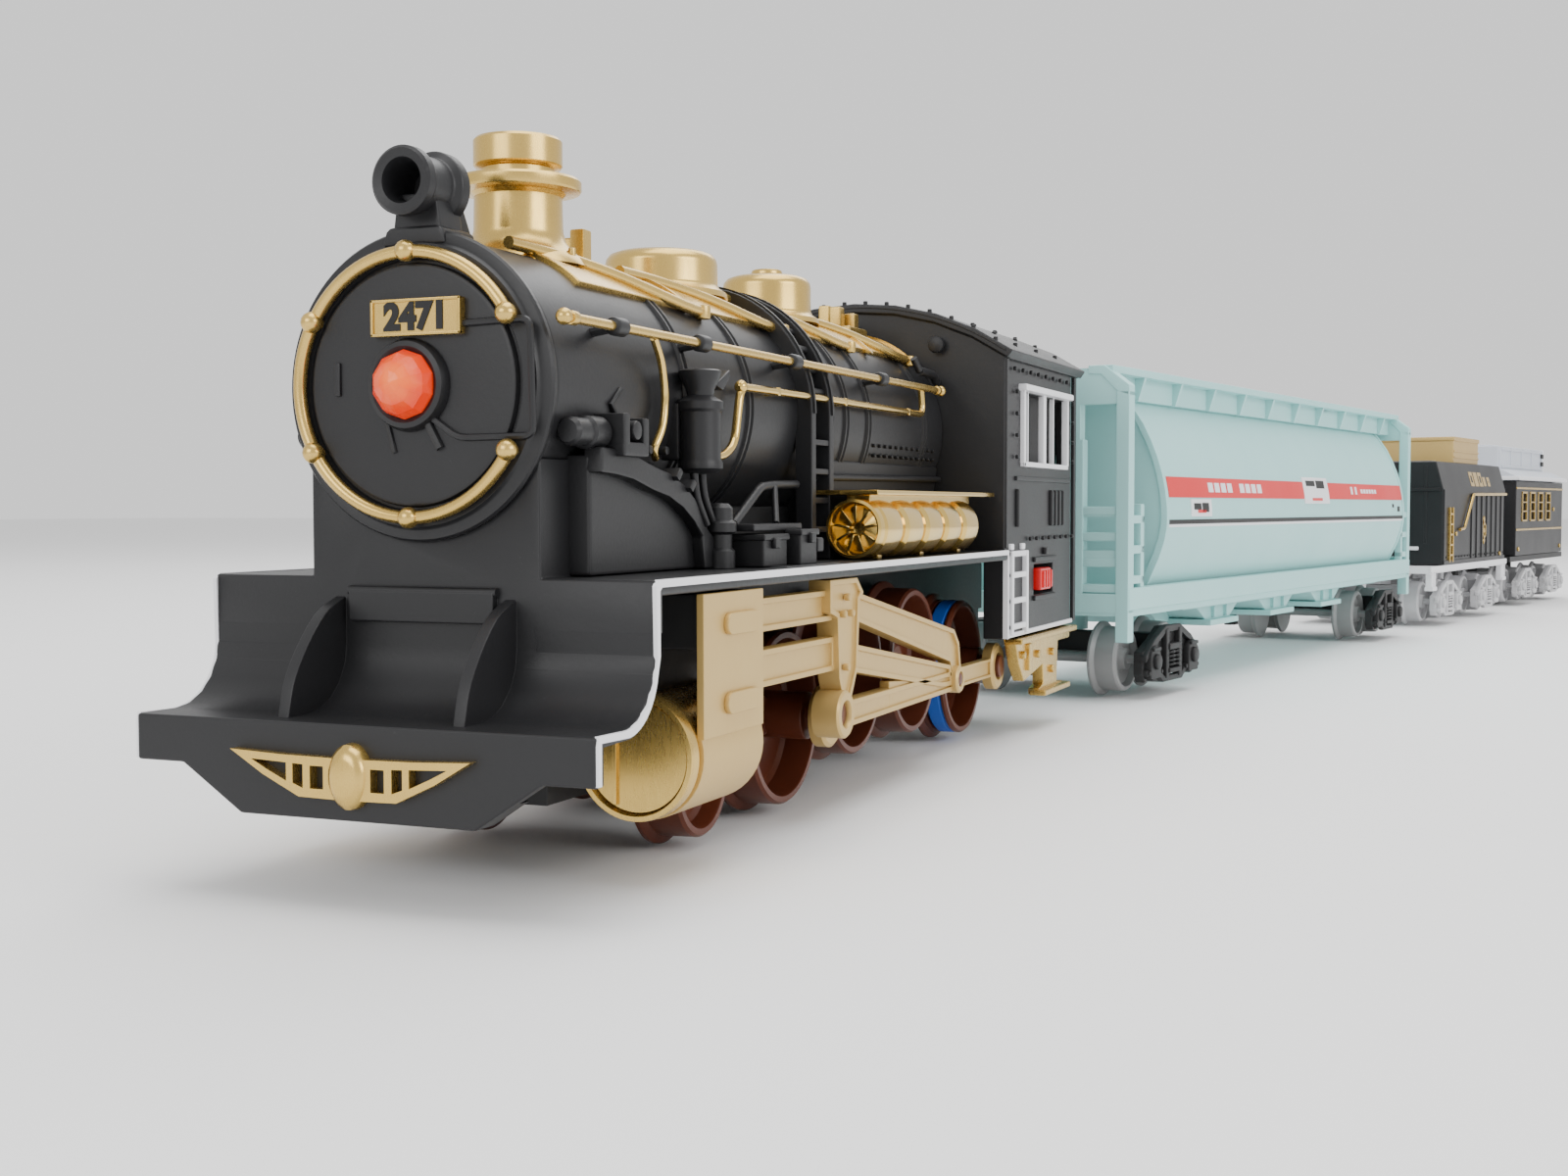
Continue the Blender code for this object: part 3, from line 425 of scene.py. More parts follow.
def eased(points, radius, steps=4):
    """Points of a line with its inner corners rounded."""
    line = [Vector(points[0])]
    for before, corner, after in zip(points, points[1:], points[2:]):
        before, corner, after = Vector(before), Vector(corner), Vector(after)
        reach = min(radius, (before - corner).length * 0.48, (after - corner).length * 0.48)
        start = corner + (before - corner).normalized() * reach
        end = corner + (after - corner).normalized() * reach
        for i in range(steps + 1):
            t = i / steps
            line.append(start * (1 - t) ** 2 + corner * 2 * t * (1 - t) + end * t ** 2)
    return line + [Vector(points[-1])]


def tube(points, radius, bend=1.5, resolution=3, cyclic=False):
    """A round pipe through the points, with eased bends and closed ends."""
    fresh()
    shape = bpy.data.curves.new("pipe", "CURVE")
    shape.dimensions = "3D"
    shape.bevel_depth = radius * MM
    shape.bevel_resolution = resolution
    shape.use_fill_caps = True
    line = eased(points, bend) if bend and len(points) > 2 and not cyclic else [Vector(p) for p in points]
    run = shape.splines.new("POLY")
    run.points.add(len(line) - 1)
    for point, spot in zip(run.points, line):
        point.co = (*(spot * MM), 1)
    run.use_cyclic_u = cyclic
    piece = bpy.data.objects.new("pipe", shape)
    bpy.context.collection.objects.link(piece)
    choose(piece)
    bpy.ops.object.convert(target="MESH")
    return merged(bpy.context.object, 0.001)


def ball(radius, centre, steps=16):
    """A round knob, turned from a half circle."""
    profile = [(radius * math.sin(a), centre[2] - radius * math.cos(a))
               for a in (math.pi * i / 8 for i in range(9))]
    return turned(profile, centre, "Z", steps)


def arc(centre, radius, start, stop, steps):
    """Points on a circle in a plane, angles in degrees."""
    spots = (math.radians(start + (stop - start) * i / steps) for i in range(steps + 1))
    return [(centre[0] + radius * math.cos(a), centre[1] + radius * math.sin(a)) for a in spots]


def joined(pieces):
    """Several shapes as one piece."""
    choose(*pieces)
    if len(pieces) > 1:
        bpy.ops.object.join()
    return bpy.context.object


def copied(piece, shift=(0, 0, 0), matrix=None):
    """A copy with its own mesh, moved by millimetres."""
    twin = piece.copy()
    twin.data = piece.data.copy()
    bpy.context.collection.objects.link(twin)
    twin.data.transform(matrix or Matrix.Translation(Vector(shift) * MM))
    return twin


def repeated(piece, shifts):
    """The piece and its copies at every shift, as one."""
    twins = [copied(piece, shift) for shift in shifts]
    bpy.data.objects.remove(piece)
    return joined(twins)


def mirrored(piece):
    """The same piece on the other side."""
    return merged(copied(piece, matrix=Matrix.Scale(-1, 4, (0, 1, 0))), 0.0001)


def on_side(piece, side):
    """The left piece, or its mirror instead of it."""
    if side < 0:
        return piece
    twin = mirrored(piece)
    bpy.data.objects.remove(piece)
    return twin


def shifted(piece, spot):
    """The piece, moved by millimetres."""
    piece.data.transform(Matrix.Translation(Vector(spot) * MM))
    return piece


def span(side, near, far):
    """Both ends of a stretch on one side of the centre line, the lower first."""
    return sorted((side * near, side * far))


def blocks(*rows):
    """A block for each row of slab's arguments."""
    return [slab(*row) for row in rows]


def cut(piece, *cutters):
    """Takes the cutters out of the piece."""
    for cutter in cutters:
        with_modifier(piece, "BOOLEAN", operation="DIFFERENCE", solver="EXACT", object=cutter)
        bpy.data.objects.remove(cutter)
    return piece


def settle(piece, name, body, finish, place=ENGINE, replaces=(), smooth=38.0):
    """Names a piece, moves it to its vehicle, gives it its finish and lets it ride."""
    piece.data.transform(place)
    piece.name = name
    piece.data.name = name
    choose(piece)
    bpy.ops.object.shade_smooth_by_angle(angle=math.radians(smooth))
    with_modifier(piece, "WEIGHTED_NORMAL", keep_sharp=True, weight=50)
    piece.data.materials.clear()
    piece.data.materials.append(FINISHES[finish].material)
    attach(piece, body)
    if replaces:
        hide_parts(*replaces)
    return piece


def from_cad(node, finish, width=0.25, smooth=38.0):
    """A CAD node's shape with softened edges, shown in its place."""
    source = frame["nodes"][node]
    body = source["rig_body"]
    piece = bpy.data.objects.new(node, source.data.copy())
    bpy.context.collection.objects.link(piece)
    merged(piece, 0.005)
    in_edit(piece, lambda: bpy.ops.mesh.dissolve_limited(angle_limit=math.radians(1.0)))
    if width:
        softened(piece, width, 2, 30.0)
    return settle(piece, f"{node}_shape", body, finish, Matrix.Identity(4), (node,), smooth)


def both_sides(make, name, body, finish, replaces=None, place=ENGINE):
    """The left piece and its mirror on the right."""
    left = make()
    right = mirrored(left)
    for piece, side in ((left, "left"), (right, "right")):
        settle(piece, f"{name}_{side}", body, finish, place, (f"{replaces}_{side}",) if replaces else ())


# ---------------------------------------------------------------- locomotive: boiler and smokebox

def boiler():
    """Barrel with its raised bands and rolled smokebox edge."""
    r = BOILER_RADIUS
    profile = [(0, 14.7), (r - 1.0, 14.7), (r - 0.3, 15.0), (r, 15.7)]
    for spot in (48.4, 69.4, 101.6, 108.8, 119.6, 150.0):
        for edge in (spot, spot + 1.5):
            profile += [(r, edge), (r + 0.4, edge + 0.15), (r + 0.4, edge + 0.65), (r, edge + 0.8)]
    profile += [(r, 162.4), (0, 162.4)]
    barrel = turned(profile, (0, 0, BOILER_Z), "X", 96)
    settle(barrel, "boiler_barrel", "engine", "black", replaces=("boiler_shell",))
    flank = [(-15.6, 36.1), (15.6, 36.1), (15.9, 44.0), (17.0, 52.0), (-17.0, 52.0), (-15.9, 44.0)]
    firebox = outlined(flank, 100.0, 162.4, "X", 0.5)
    settle(firebox, "firebox_sides", "engine", "black")
    trough = outlined([(-13.0, 36.1), (13.0, 36.1), (11.5, 44.5), (-11.5, 44.5)], 44.4, 100.5, "X", 0.4)
    settle(trough, "boiler_trough", "engine", "underframe")


def band_ladder():
    """Two thick hoops with rungs between them, running on down to the board as a ladder."""
    r, parts = BOILER_RADIUS, []
    for x in (89.6, 97.2):
        line = arc((0, BOILER_Z), r + 2.4, 0, 180, 30)
        line += [(-r - 2.4, 36.1), (-r + 0.4, 36.1), (-r + 0.4, BOILER_Z)]
        line += arc((0, BOILER_Z), r - 0.4, 180, 0, 30) + [(r - 0.4, 36.1), (r + 2.4, 36.1)]
        parts.append(outlined(line, x - 0.95, x + 0.95, "X", 0.25))
        groove = [(r + 2.3, x - 0.3), (r + 2.7, x - 0.3), (r + 2.7, x + 0.3), (r + 2.3, x + 0.3)]
        ridge = turned(groove, (0, 0, BOILER_Z), "X", 72, closed=True)
        parts.append(cut(ridge, slab((x - 3, x + 3), (-30, 30), (30, BOILER_Z), 0)))
    for degrees in range(4, 180, 11):
        a = math.radians(degrees)
        y, z = math.cos(a) * (r + 1.2), BOILER_Z + math.sin(a) * (r + 1.2)
        parts.append(tube([(89.6, y, z), (97.2, y, z)], 0.55, 0))
    for side in (-1, 1):
        for z in (40.4, 44.9, 49.4, 53.9):
            parts.append(slab((89.6, 97.2), (side * (r + 0.6), side * (r + 2.2)), (z, z + 0.9), 0.15))
    settle(joined(parts), "boiler_double_band", "engine", "black")


def smokebox():
    """Domed door with a stepped rim and a raised pipe outline."""
    centre = (0, 0, BOILER_Z)
    rim = [(0, 14.6), (18.25, 14.6), (18.45, 14.3), (18.45, 13.7), (18.2, 13.4), (17.2, 13.2), (16.9, 12.9)]
    rim += [(16.7, 12.6), (14.9, 12.6), (14.7, 12.9), (14.4, 12.9), (14.2, 12.2), (13.8, 12.0),
            (8.0, 11.9), (0, 11.9)]
    settle(turned(rim, centre, "X", 96), "smokebox_front", "engine", "black", replaces=("smokebox_door",))
    bezel = [(3.9, 12.6), (5.3, 12.6), (5.5, 11.6), (5.1, 10.7), (4.5, 10.5), (3.9, 10.9)]
    settle(turned(bezel, centre, "X", 48, True), "lamp_bezel", "engine", "black")
    outline = [(11.7, -6.4, 65.6), (11.9, -16.3, 65.9), (12.1, -16.5, 52.5), (11.8, -6.6, 52.4),
               (11.7, -3.4, 54.6)]
    parts = [tube(outline, 0.42, 1.2, 2), tube([(11.8, -2.4, 54.4), (11.8, -4.2, 51.2)], 0.55, 0, 2)]
    parts.append(tube([(11.8, 3.2, 54.6), (11.8, 2.2, 50.8)], 0.3, 0, 2))
    parts.append(slab((11.6, 12.2), (9.8, 10.6), (57.6, 61.6), 0.15))
    settle(joined(parts), "door_fittings", "engine", "black")
    glass = [(0, 12.5), (4.1, 12.5), (4.1, 10.6), (3.6, 9.3), (2.6, 8.2), (1.4, 7.6), (0, 7.4)]
    settle(turned(glass, centre, "X", 10), "lamp_lens_cut", "engine", "lens", replaces=("lamp_lens",),
           smooth=5)


def door_ring():
    """Gold hand ring, open on the driver's side, with six knobs on short posts."""
    radius = 15.6
    line = [(11.6, y, z) for y, z in arc((0, BOILER_Z), radius, 152.0, -152.0, 72)]
    parts = [tube(line, 0.8, 0, 4)]
    for y, z in arc((0, BOILER_Z), radius, 150.0, -150.0, 5):
        parts.append(ball(1.3, (11.2, y, z), 16))
        parts.append(disc(0.75, 11.6, 13.2, (12.4, y, z), "X", 14))
    return settle(joined(parts), "door_hand_ring", "engine", "gold", replaces=("door_ring",))


def number_plate():
    """Gold plate with a raised border and dark numerals."""
    plate = slab((11.1, 12.3), (-7.6, 4.8), (64.4, 68.7), 0.15)
    border = [slab((10.85, 11.3), (-7.6, 4.8), (z, z + 0.35), 0.08) for z in (64.4, 68.35)]
    border += [slab((10.85, 11.3), (y, y + 0.35), (64.4, 68.7), 0.08) for y in (-7.6, 4.45)]
    settle(joined([plate, *border]), "number_plate_gold", "engine", "gold", replaces=("number_plate",))
    fresh()
    bpy.ops.object.text_add()
    digits = bpy.context.object
    digits.data.body = "2471"
    digits.data.size = 4.3 * MM
    digits.data.extrude = 0.12 * MM
    digits.data.offset = 0.22 * MM
    digits.data.align_x = "CENTER"
    digits.data.align_y = "CENTER"
    choose(digits)
    bpy.ops.object.convert(target="MESH")
    digits = bpy.context.object
    digits.data.transform(Matrix.Diagonal((1.02, 1.0, 1.0, 1.0)))
    digits.data.transform(Matrix.Rotation(math.radians(90), 4, "X"))
    digits.data.transform(Matrix.Rotation(math.radians(-90), 4, "Z"))
    settle(shifted(digits, (11.1, -1.4, 66.5)), "plate_numerals", "engine", "ink")


def headlamp():
    """Tube lamp with a deep eye, a rear flange and a tapered foot."""
    centre = (0, 0, 82.4)
    eye = [(0, 16.2), (2.0, 16.2), (2.2, 15.4), (2.4, 11.4), (2.7, 10.5), (3.7, 10.2), (4.05, 10.5),
           (4.1, 11.6)]
    eye += [(3.7, 12.1), (3.5, 12.8), (3.5, 16.0), (3.7, 16.4), (4.3, 16.7), (4.45, 17.0), (4.45, 18.3)]
    eye += [(4.1, 18.7), (2.8, 18.9), (0, 19.1)]
    parts = [turned(eye, centre, "X", 48)]
    foot = outlined([(-2.7, 81.4), (2.7, 81.4), (3.5, 75.7), (-3.5, 75.7)], 13.4, 18.6, "X", 0.5)
    sole = outlined([(-3.9, 76.9), (-3.4, 77.4), (3.4, 77.4), (3.9, 76.9), (4.4, 75.2), (-4.4, 75.2)],
                    12.8, 20.0, "X", 0.4)
    parts.append(outlined([(18.2, 83.6), (19.6, 83.6), (24.0, 76.0), (18.2, 76.0)], -1.6, 1.6, "Y", 0.4))
    parts += [foot, sole]
    settle(joined(parts), "headlamp_tube", "engine", "black", replaces=("headlamp",))


def chimney():
    """Gold stack with a flared root, wide brim, narrow neck and cap."""
    profile = [(0, 75.4), (9.2, 75.4), (8.6, 76.4), (7.2, 77.4), (6.2, 78.6), (5.8, 80.0), (5.7, 84.4)]
    profile += [(6.2, 84.9), (8.0, 85.1), (8.2, 85.4), (8.2, 86.4), (7.9, 86.75), (4.9, 86.9)]
    profile += [(4.7, 87.1), (4.7, 88.0), (5.5, 88.2), (5.75, 88.5), (5.75, 91.6), (5.45, 91.95)]
    profile += [(4.7, 92.0), (4.4, 91.6), (4.3, 88.0), (0, 87.8)]
    stack = turned(profile, (36.6, 0, 0), "Z", 72)
    bolt = [disc(0.5, 75.4, 77.6, (36.6 + 7.9 * math.cos(a), 7.9 * math.sin(a), 0), "Z", 10)
            for a in (math.radians(d) for d in range(30, 360, 60))]
    settle(joined([stack, *bolt]), "chimney_stack", "engine", "gold", replaces=("chimney",))


def dome(x, radius, height, flare=1.6):
    """One capped dome with a flared seat."""
    top = BOILER_Z + BOILER_RADIUS + height
    seat = BOILER_Z + BOILER_RADIUS - 0.8
    profile = [(0, seat), (radius + flare, seat), (radius + flare * 0.8, seat + 0.9),
               (radius + 0.3, seat + 1.5), (radius, seat + 2.2), (radius, top - 1.9)]
    profile += [(radius - 0.15, top - 1.2), (radius - 0.7, top - 0.5), (radius - 1.8, top - 0.08), (0, top)]
    return turned(profile, (x, 0, 0), "Z", 64)


def boiler_top():
    """Broad gold casing with domes, turret, safety valve and pipes that dive to its edge."""
    outer, inner = BOILER_RADIUS + 0.75, BOILER_RADIUS - 0.2
    casing = outlined(arc((0, BOILER_Z), outer, 47, 133, 26) + arc((0, BOILER_Z), inner, 133, 47, 26),
                      30.0, 161.6, "X", 0.2)
    parts = [casing, dome(78.0, 8.5, 6.2), dome(118.6, 7.6, 7.4)]
    parts.append(disc(2.7, 83.6, 85.2, (118.6, 0, 0), "Z", 24, 0.5))
    for x, y, high in ((146.6, -1.8, 81.8), (149.2, 1.4, 82.4), (150.0, -3.4, 80.8), (49.0, -1.6, 82.2),
                       (50.8, 1.2, 81.4)):
        parts.append(slab((x, x + 2.4), (y - 1.1, y + 1.1), (75.6, high), 0.3))
    parts += blocks(
        ((144.6, 154.4), (-5.6, 5.6), (75.4, 78.0), 0.5),
        ((47.4, 55.0), (-4.6, 4.6), (75.4, 77.6), 0.5),
    )
    for x in (60.0, 98.6, 134.0, 158.0):
        hoop = [(inner, x - 0.5), (outer + 0.4, x - 0.5), (outer + 0.4, x + 0.5), (inner, x + 0.5)]
        full = turned(hoop, (0, 0, BOILER_Z), "X", 96, True)
        parts.append(cut(full, slab((x - 3, x + 3), (-40, 40), (20, BOILER_Z + 13.0), 0)))
    for side in (-1, 1):
        for x in (25.0, 54.0, 84.0, 116.0):
            line = []
            for i in range(13):
                lean = math.radians(17 + 29 * (3 * (i / 12) ** 2 - 2 * (i / 12) ** 3))
                line.append((x + 3.2 * i, side * 19.0 * math.sin(lean), BOILER_Z + 19.0 * math.cos(lean)))
            parts.append(tube(line, 0.8, 0, 3))
            parts.append(disc(1.2, 70.8, 72.8, (x + 38.4, side * 13.7, 0), "Z", 14, 0.3))
    settle(joined(parts), "boiler_top_casing", "engine", "gold", replaces=("dome_strip",))


def handrail():
    """Thin straight rail each side with a knob at each end; the right one starts further back."""
    y, z = RAIL_Y, RAIL_Z
    for (side, name), start in zip(SIDES, (13.0, 23.0)):
        parts = [tube([(start + 0.4, y, z), (154.3, y, z)], 0.62, 0, 3)]
        parts += [ball(1.0, (x, y, z), 14) for x in (start, 154.3)]
        parts += [disc(0.85, x - 0.7, x + 0.7, (0, y, z), "X", 16, 0.2) for x in (start + 2.0, 152.2)]
        rail = on_side(joined(parts), side)
        settle(rail, f"boiler_handrail_{name}", "engine", "gold", replaces=(f"handrail_{name}",))


def rail_sleeves():
    """Dark sleeves and posts that carry the rail of the left side."""
    y, z, parts = RAIL_Y, RAIL_Z, []
    for x in (26.0, 49.6, 82.0, 121.0):
        parts.append(disc(1.15, x - 1.5, x + 1.5, (0, y, z), "X", 18, 0.4))
        parts.append(tube([(x, y, z), (x, y + 4.2, z - 0.6)], 0.6, 0, 2))
    parts.append(tube([(148.0, -18.0, 69.4), (158.0, -17.4, 69.4), (161.4, -17.0, 68.2)], 0.8, 1.0))
    parts.append(tube([(148.0, -18.0, 69.4), (146.4, -17.4, 71.6)], 0.7, 0))
    return joined(parts)


def side_pipes():
    """Gold pipes along the barrel's side: a hooked feed pipe and an upright loop."""
    y = -18.9
    feed = [(54.4, y - 0.6, 51.2), (57.6, y - 0.6, 51.3), (61.4, y - 0.6, 53.0), (63.6, y - 0.6, 61.2)]
    feed += [(90.0, y - 0.6, 61.3), (145.4, y - 0.6, 61.2), (145.0, y - 0.4, 65.6)]
    parts = [tube(feed, 0.62, 2.0)]
    loop = [(36.6, -19.6, 65.6), (39.2, -19.4, 62.8), (40.4, -19.3, 58.4), (39.6, -19.3, 54.4),
            (37.8, -18.8, 51.6), (39.6, -18.2, 50.6)]
    parts.append(tube(loop, 0.52, 2.6))
    parts += [ball(0.95, spot, 12) for spot in ((54.4, y - 0.6, 51.2), (63.7, y - 0.6, 61.2))]
    for x in (76.0, 104.0, 136.0):
        parts.append(slab((x, x + 1.0), (y - 1.2, y + 1.6), (60.6, 61.9), 0.2))
    return joined(parts)


def steam_casing():
    """Curved steam-pipe casing on the smokebox side, its clamp, valve body, rivets and arrow."""
    crest = [(20.8, 50.6), (24.6, 50.4), (29.0, 49.9), (34.5, 48.6), (39.0, 47.8), (43.1, 46.4),
             (46.4, 44.6),
             (48.8, 42.6), (50.2, 40.6)]
    body = [(20.8, 36.1), *crest, (54.7, 39.4), (54.7, 36.1)]
    parts = [outlined(body, -19.0, -13.0, "Y", 0.5)]
    band = [(x + 0.2, z + 0.9) for x, z in crest] + [(53.6, 39.6), (53.6, 36.1), (49.4, 36.1), (48.8, 39.4)]
    band += [(x, z - 2.2) for x, z in reversed(crest[1:-1])] + [(20.8, 48.4)]
    parts.append(outlined(band, -20.6, -18.0, "Y", 0.4))
    for x, z in ((39.4, 48.2), (43.4, 46.8)):
        parts.append(outlined([(x, z), (x + 1.2, z + 1.2), (x + 2.0, z + 0.6), (x + 0.8, z - 0.6)],
                              -21.4, -19.0, "Y", 0.2))
    valve = [(0, 16.4), (1.3, 16.4), (1.7, 16.9), (1.7, 20.0), (2.0, 20.3), (2.0, 23.6), (1.7, 24.0),
             (0, 24.0)]
    parts.append(turned(valve, (0, -18.5, 53.2), "X", 28))
    parts += blocks(
        ((24.4, 26.0), (-21.8, -17.0), (51.6, 55.6), 0.3),
        ((29.4, 31.0), (-21.8, -17.0), (51.6, 55.2), 0.3),
        ((24.4, 31.0), (-21.8, -16.0), (50.4, 52.2), 0.35),
    )
    parts.append(disc(1.2, -22.0, -19.0, (27.6, 0, 53.6), "Y", 16, 0.3))
    parts.append(repeated(disc(0.6, -19.0, -17.0, (0, 0, 51.6), "Y", 10, 0.2),
                          [(x, 0, 0) for x in (33.0, 35.0, 37.0, 41.6)]))
    parts.append(tube([(30.6, -17.9, 58.8), (28.0, -18.0, 56.9), (30.0, -17.9, 55.0)], 0.42, 0))
    return joined(parts)


def pump():
    """Stepped air pump with its flared spouted head, drain and lower cylinder."""
    body = [(0, 48.6), (2.2, 48.8), (3.0, 49.4), (3.0, 50.2), (2.75, 50.6), (2.75, 56.8), (3.1, 57.2),
            (3.1, 58.2), (2.4, 58.6), (1.8, 59.0), (1.9, 59.8), (2.7, 61.4), (2.9, 62.2), (2.5, 62.4),
            (2.1, 61.8),
            (0, 61.6)]
    parts = [turned(body, (48.0, -20.6, 0), "Z", 36)]
    spout = [(48.6, 60.4), (51.0, 61.6), (53.4, 62.8), (53.2, 61.6), (51.2, 59.8)]
    parts.append(outlined(spout, -22.6, -18.8, "Y", 0.3))
    parts.append(slab((45.6, 50.6), (-18.6, -14.0), (50.5, 58.0), 0.4))
    for x in (46.4, 48.8):
        parts.append(tube([(x, -20.4, 49.4), (x + 0.6, -20.4, 45.6), (x + 3.4, -20.6, 42.0)], 0.55, 2.0))
    lower = [(0, 36.1), (2.0, 36.1), (2.0, 38.4), (1.6, 38.8), (1.6, 40.6), (2.2, 41.0), (2.2, 42.2),
             (1.7, 42.6),
             (1.7, 44.2), (1.1, 44.8), (0, 44.9)]
    parts.append(turned(lower, (53.6, -20.9, 0), "Z", 28))
    return joined(parts)


def tool_boxes():
    """Shelf, boxes and slanting stays on the running board, ahead of the tank."""
    parts = [slab((56.6, 74.0), (-24.6, -18.0), (41.0, 42.0), 0.25)]
    for x, width, low, high, top in ((57.6, 8.4, -25.6, -19.2, 40.6), (68.0, 6.4, -26.8, -24.4, 41.2)):
        parts += blocks(
            ((x, x + width), (low, high), (36.05, top), 0.35),
            ((x - 0.3, x + width + 0.3), (low - 0.3, high + 0.2), (top - 0.9, top), 0.25),
            ((x + 2.6, x + 4.4), (low - 0.7, low + 0.1), (top - 2.0, top - 0.5), 0.2),
        )
    parts.append(slab((74.2, 76.6), (-27.0, -25.0), (37.8, 39.9), 0.3))
    parts.append(tube([(56.8, -21.4, 42.0), (68.0, -20.6, 47.2), (76.0, -19.4, 47.6),
                       (86.8, -18.4, 47.8)], 0.65, 1.5))
    parts.append(tube([(69.4, -22.4, 42.0), (74.4, -20.0, 47.4)], 0.5, 0))
    parts.append(tube([(96.0, -17.8, 49.0), (130.0, -17.6, 49.3), (161.6, -17.4, 49.6)], 0.55, 0))
    stud = disc(0.32, -18.0, -17.2, (0, 0, 0), "Y", 8, 0.12)
    parts.append(repeated(stud, [(x, 0, z) for z in (53.2, 54.9) for x in range(124, 160, 3)]))
    stud = disc(0.3, -17.2, -15.4, (0, 0, 0), "Y", 8, 0.12)
    parts.append(repeated(stud, [(x, 0, 46.6) for x in range(104, 160, 4)]))
    return joined(parts)


def air_tank():
    """Gold reservoir with a ribbed hollow front, broad hoops and its cover strip."""
    centre = (0, -24.5, 40.9)
    profile = [(0, 98.6), (1.0, 98.4), (1.2, 97.8), (3.4, 98.2), (3.7, 96.2), (4.2, 95.4), (4.65, 95.6),
               (4.75, 97.0),
               (4.3, 97.4)]
    for i in range(5):
        x = 98.0 + i * 10.7
        profile += [(4.15, x), (4.8, x + 0.4), (4.95, x + 3.8), (4.8, x + 7.4), (4.15, x + 7.8)]
    profile += [(4.15, 149.6), (4.0, 151.0), (3.0, 152.6), (0, 153.2)]
    parts = [turned(profile, centre, "X", 56)]
    for i in range(9):
        rib = slab((96.4, 98.8), (-0.22, 0.22), (1.0, 3.9), 0.08)
        rib.data.transform(Matrix.Rotation(math.tau * i / 9, 4, "X"))
        parts.append(shifted(rib, centre))
    parts.append(outlined([(95.6, 47.0), (161.4, 47.0), (161.4, 46.2), (95.6, 46.2)], -28.6, -18.0, "Y",
                          0.2))
    parts.append(outlined([(98.0, 46.3), (152.0, 46.3), (152.0, 44.8), (98.0, 44.8)], -26.4, -22.4, "Y",
                          0.2))
    for x in (100.0, 121.4, 142.8):
        parts.append(slab((x, x + 2.0), (-27.0, -22.0), (36.05, 38.2), 0.25))
    return joined(parts)


# ---------------------------------------------------------------- locomotive: plate, wheels and motion

def recessed(piece, towards, border=0.6, depth=0.5):
    """Sinks the middle of the flat face that looks towards a direction."""
    for polygon in piece.data.polygons:
        polygon.select = polygon.normal.dot(towards) > 0.98
    choose(piece)
    bpy.ops.object.mode_set(mode="EDIT")
    bpy.ops.mesh.select_mode(type="FACE")
    bpy.ops.mesh.inset(thickness=border * MM, depth=-depth * MM)
    bpy.ops.mesh.select_mode(type="VERT")
    bpy.ops.object.mode_set(mode="OBJECT")
    return piece


def shrunk(points, border):
    """An outline moved inwards by a border, corner by corner."""
    spots = [Vector(point) for point in points]
    turns = sum(a.x * b.y - b.x * a.y for a, b in zip(spots, spots[1:] + spots[:1]))
    inner = []
    for before, spot, after in zip(spots[-1:] + spots[:-1], spots, spots[1:] + spots[:1]):
        first, second = (spot - before).normalized(), (after - spot).normalized()
        sides = [Vector((-line.y, line.x)) * math.copysign(1.0, turns) for line in (first, second)]
        lean = sides[0] + sides[1]
        inner.append(tuple(spot + lean * min(border / max(1.0 + sides[0].dot(sides[1]), 0.25), border * 3)))
    return inner


def beamed(points, low, high, border=0.6, depth=0.6):
    """A rod or plate of the left side with a raised border."""
    groove = outlined(shrunk(points, border), low - 1.0, low + depth, "Y", 0)
    return softened(cut(outlined(points, low, high, "Y", 0), groove), 0.12, 2, 30.0)


def front_sweep():
    return arc((6.2, 27.9), 8.0, 270, 360, 14)


def sweep_underside():
    return [(x + 0.5, z - 1.1) for x, z in front_sweep()]


def sweep_hollows():
    """Cutters that open the space beneath the sweep on both sides."""
    side = [(1.6, 12.0), (1.6, 18.7), *sweep_underside()[1:-1], (13.3, 30.0), (18.6, 30.0), (18.6, 12.0)]
    spans = ((-32.0, -15.4), (15.4, 32.0))
    boxes = [slab((50.0, 86.5), span, (36.15, 46.0), 0) for span in spans]
    cutters = [outlined(side, low, high, "Y", 0) for low, high in spans] + boxes
    for cutter in cutters:
        cutter.data.transform(ENGINE)
    return cutters


def running_plate():
    """Beam, deck sweeping up to the riser, and the running boards."""
    for node, finish in (("running_plate", "black"), ("loco_chassis", "underframe")):
        cut(from_cad(node, finish, 0.3, 50.0), *sweep_hollows())
    sweep, under = front_sweep(), sweep_underside()
    skin = [(0.2, 19.8), *sweep, (14.25, 35.7), (15.2, 35.7), (15.2, 28.4), *under[::-1], (0.2, 18.9)]
    settle(outlined(skin, -30.95, 30.95, "Y", 0.15), "deck_sweep", "engine", "black", smooth=40.0)
    panel = slab((13.2, 14.6), (-10.2, 10.2), (30.6, 34.4), 0.3)
    panel = joined([panel, tube([(13.9, -10.4, 34.3), (13.9, 10.4, 34.3)], 0.6, 0, 3)])
    settle(panel, "riser_panel", "engine", "black")
    curve = eased([(2.9, 19.6, 0), (4.0, 24.2, 0), (6.9, 28.5, 0), (10.4, 32.1, 0), (14.2, 33.5, 0)], 2.0,
                  3)
    fin = [(14.9, 19.6), *[(spot.x, spot.y) for spot in curve], (14.9, 33.6)]
    fins = [outlined(fin, y - 0.8, y + 0.8, "Y", 0.2) for y in (-12.0, 12.0)]
    settle(joined(fins), "front_gussets", "engine", "black")


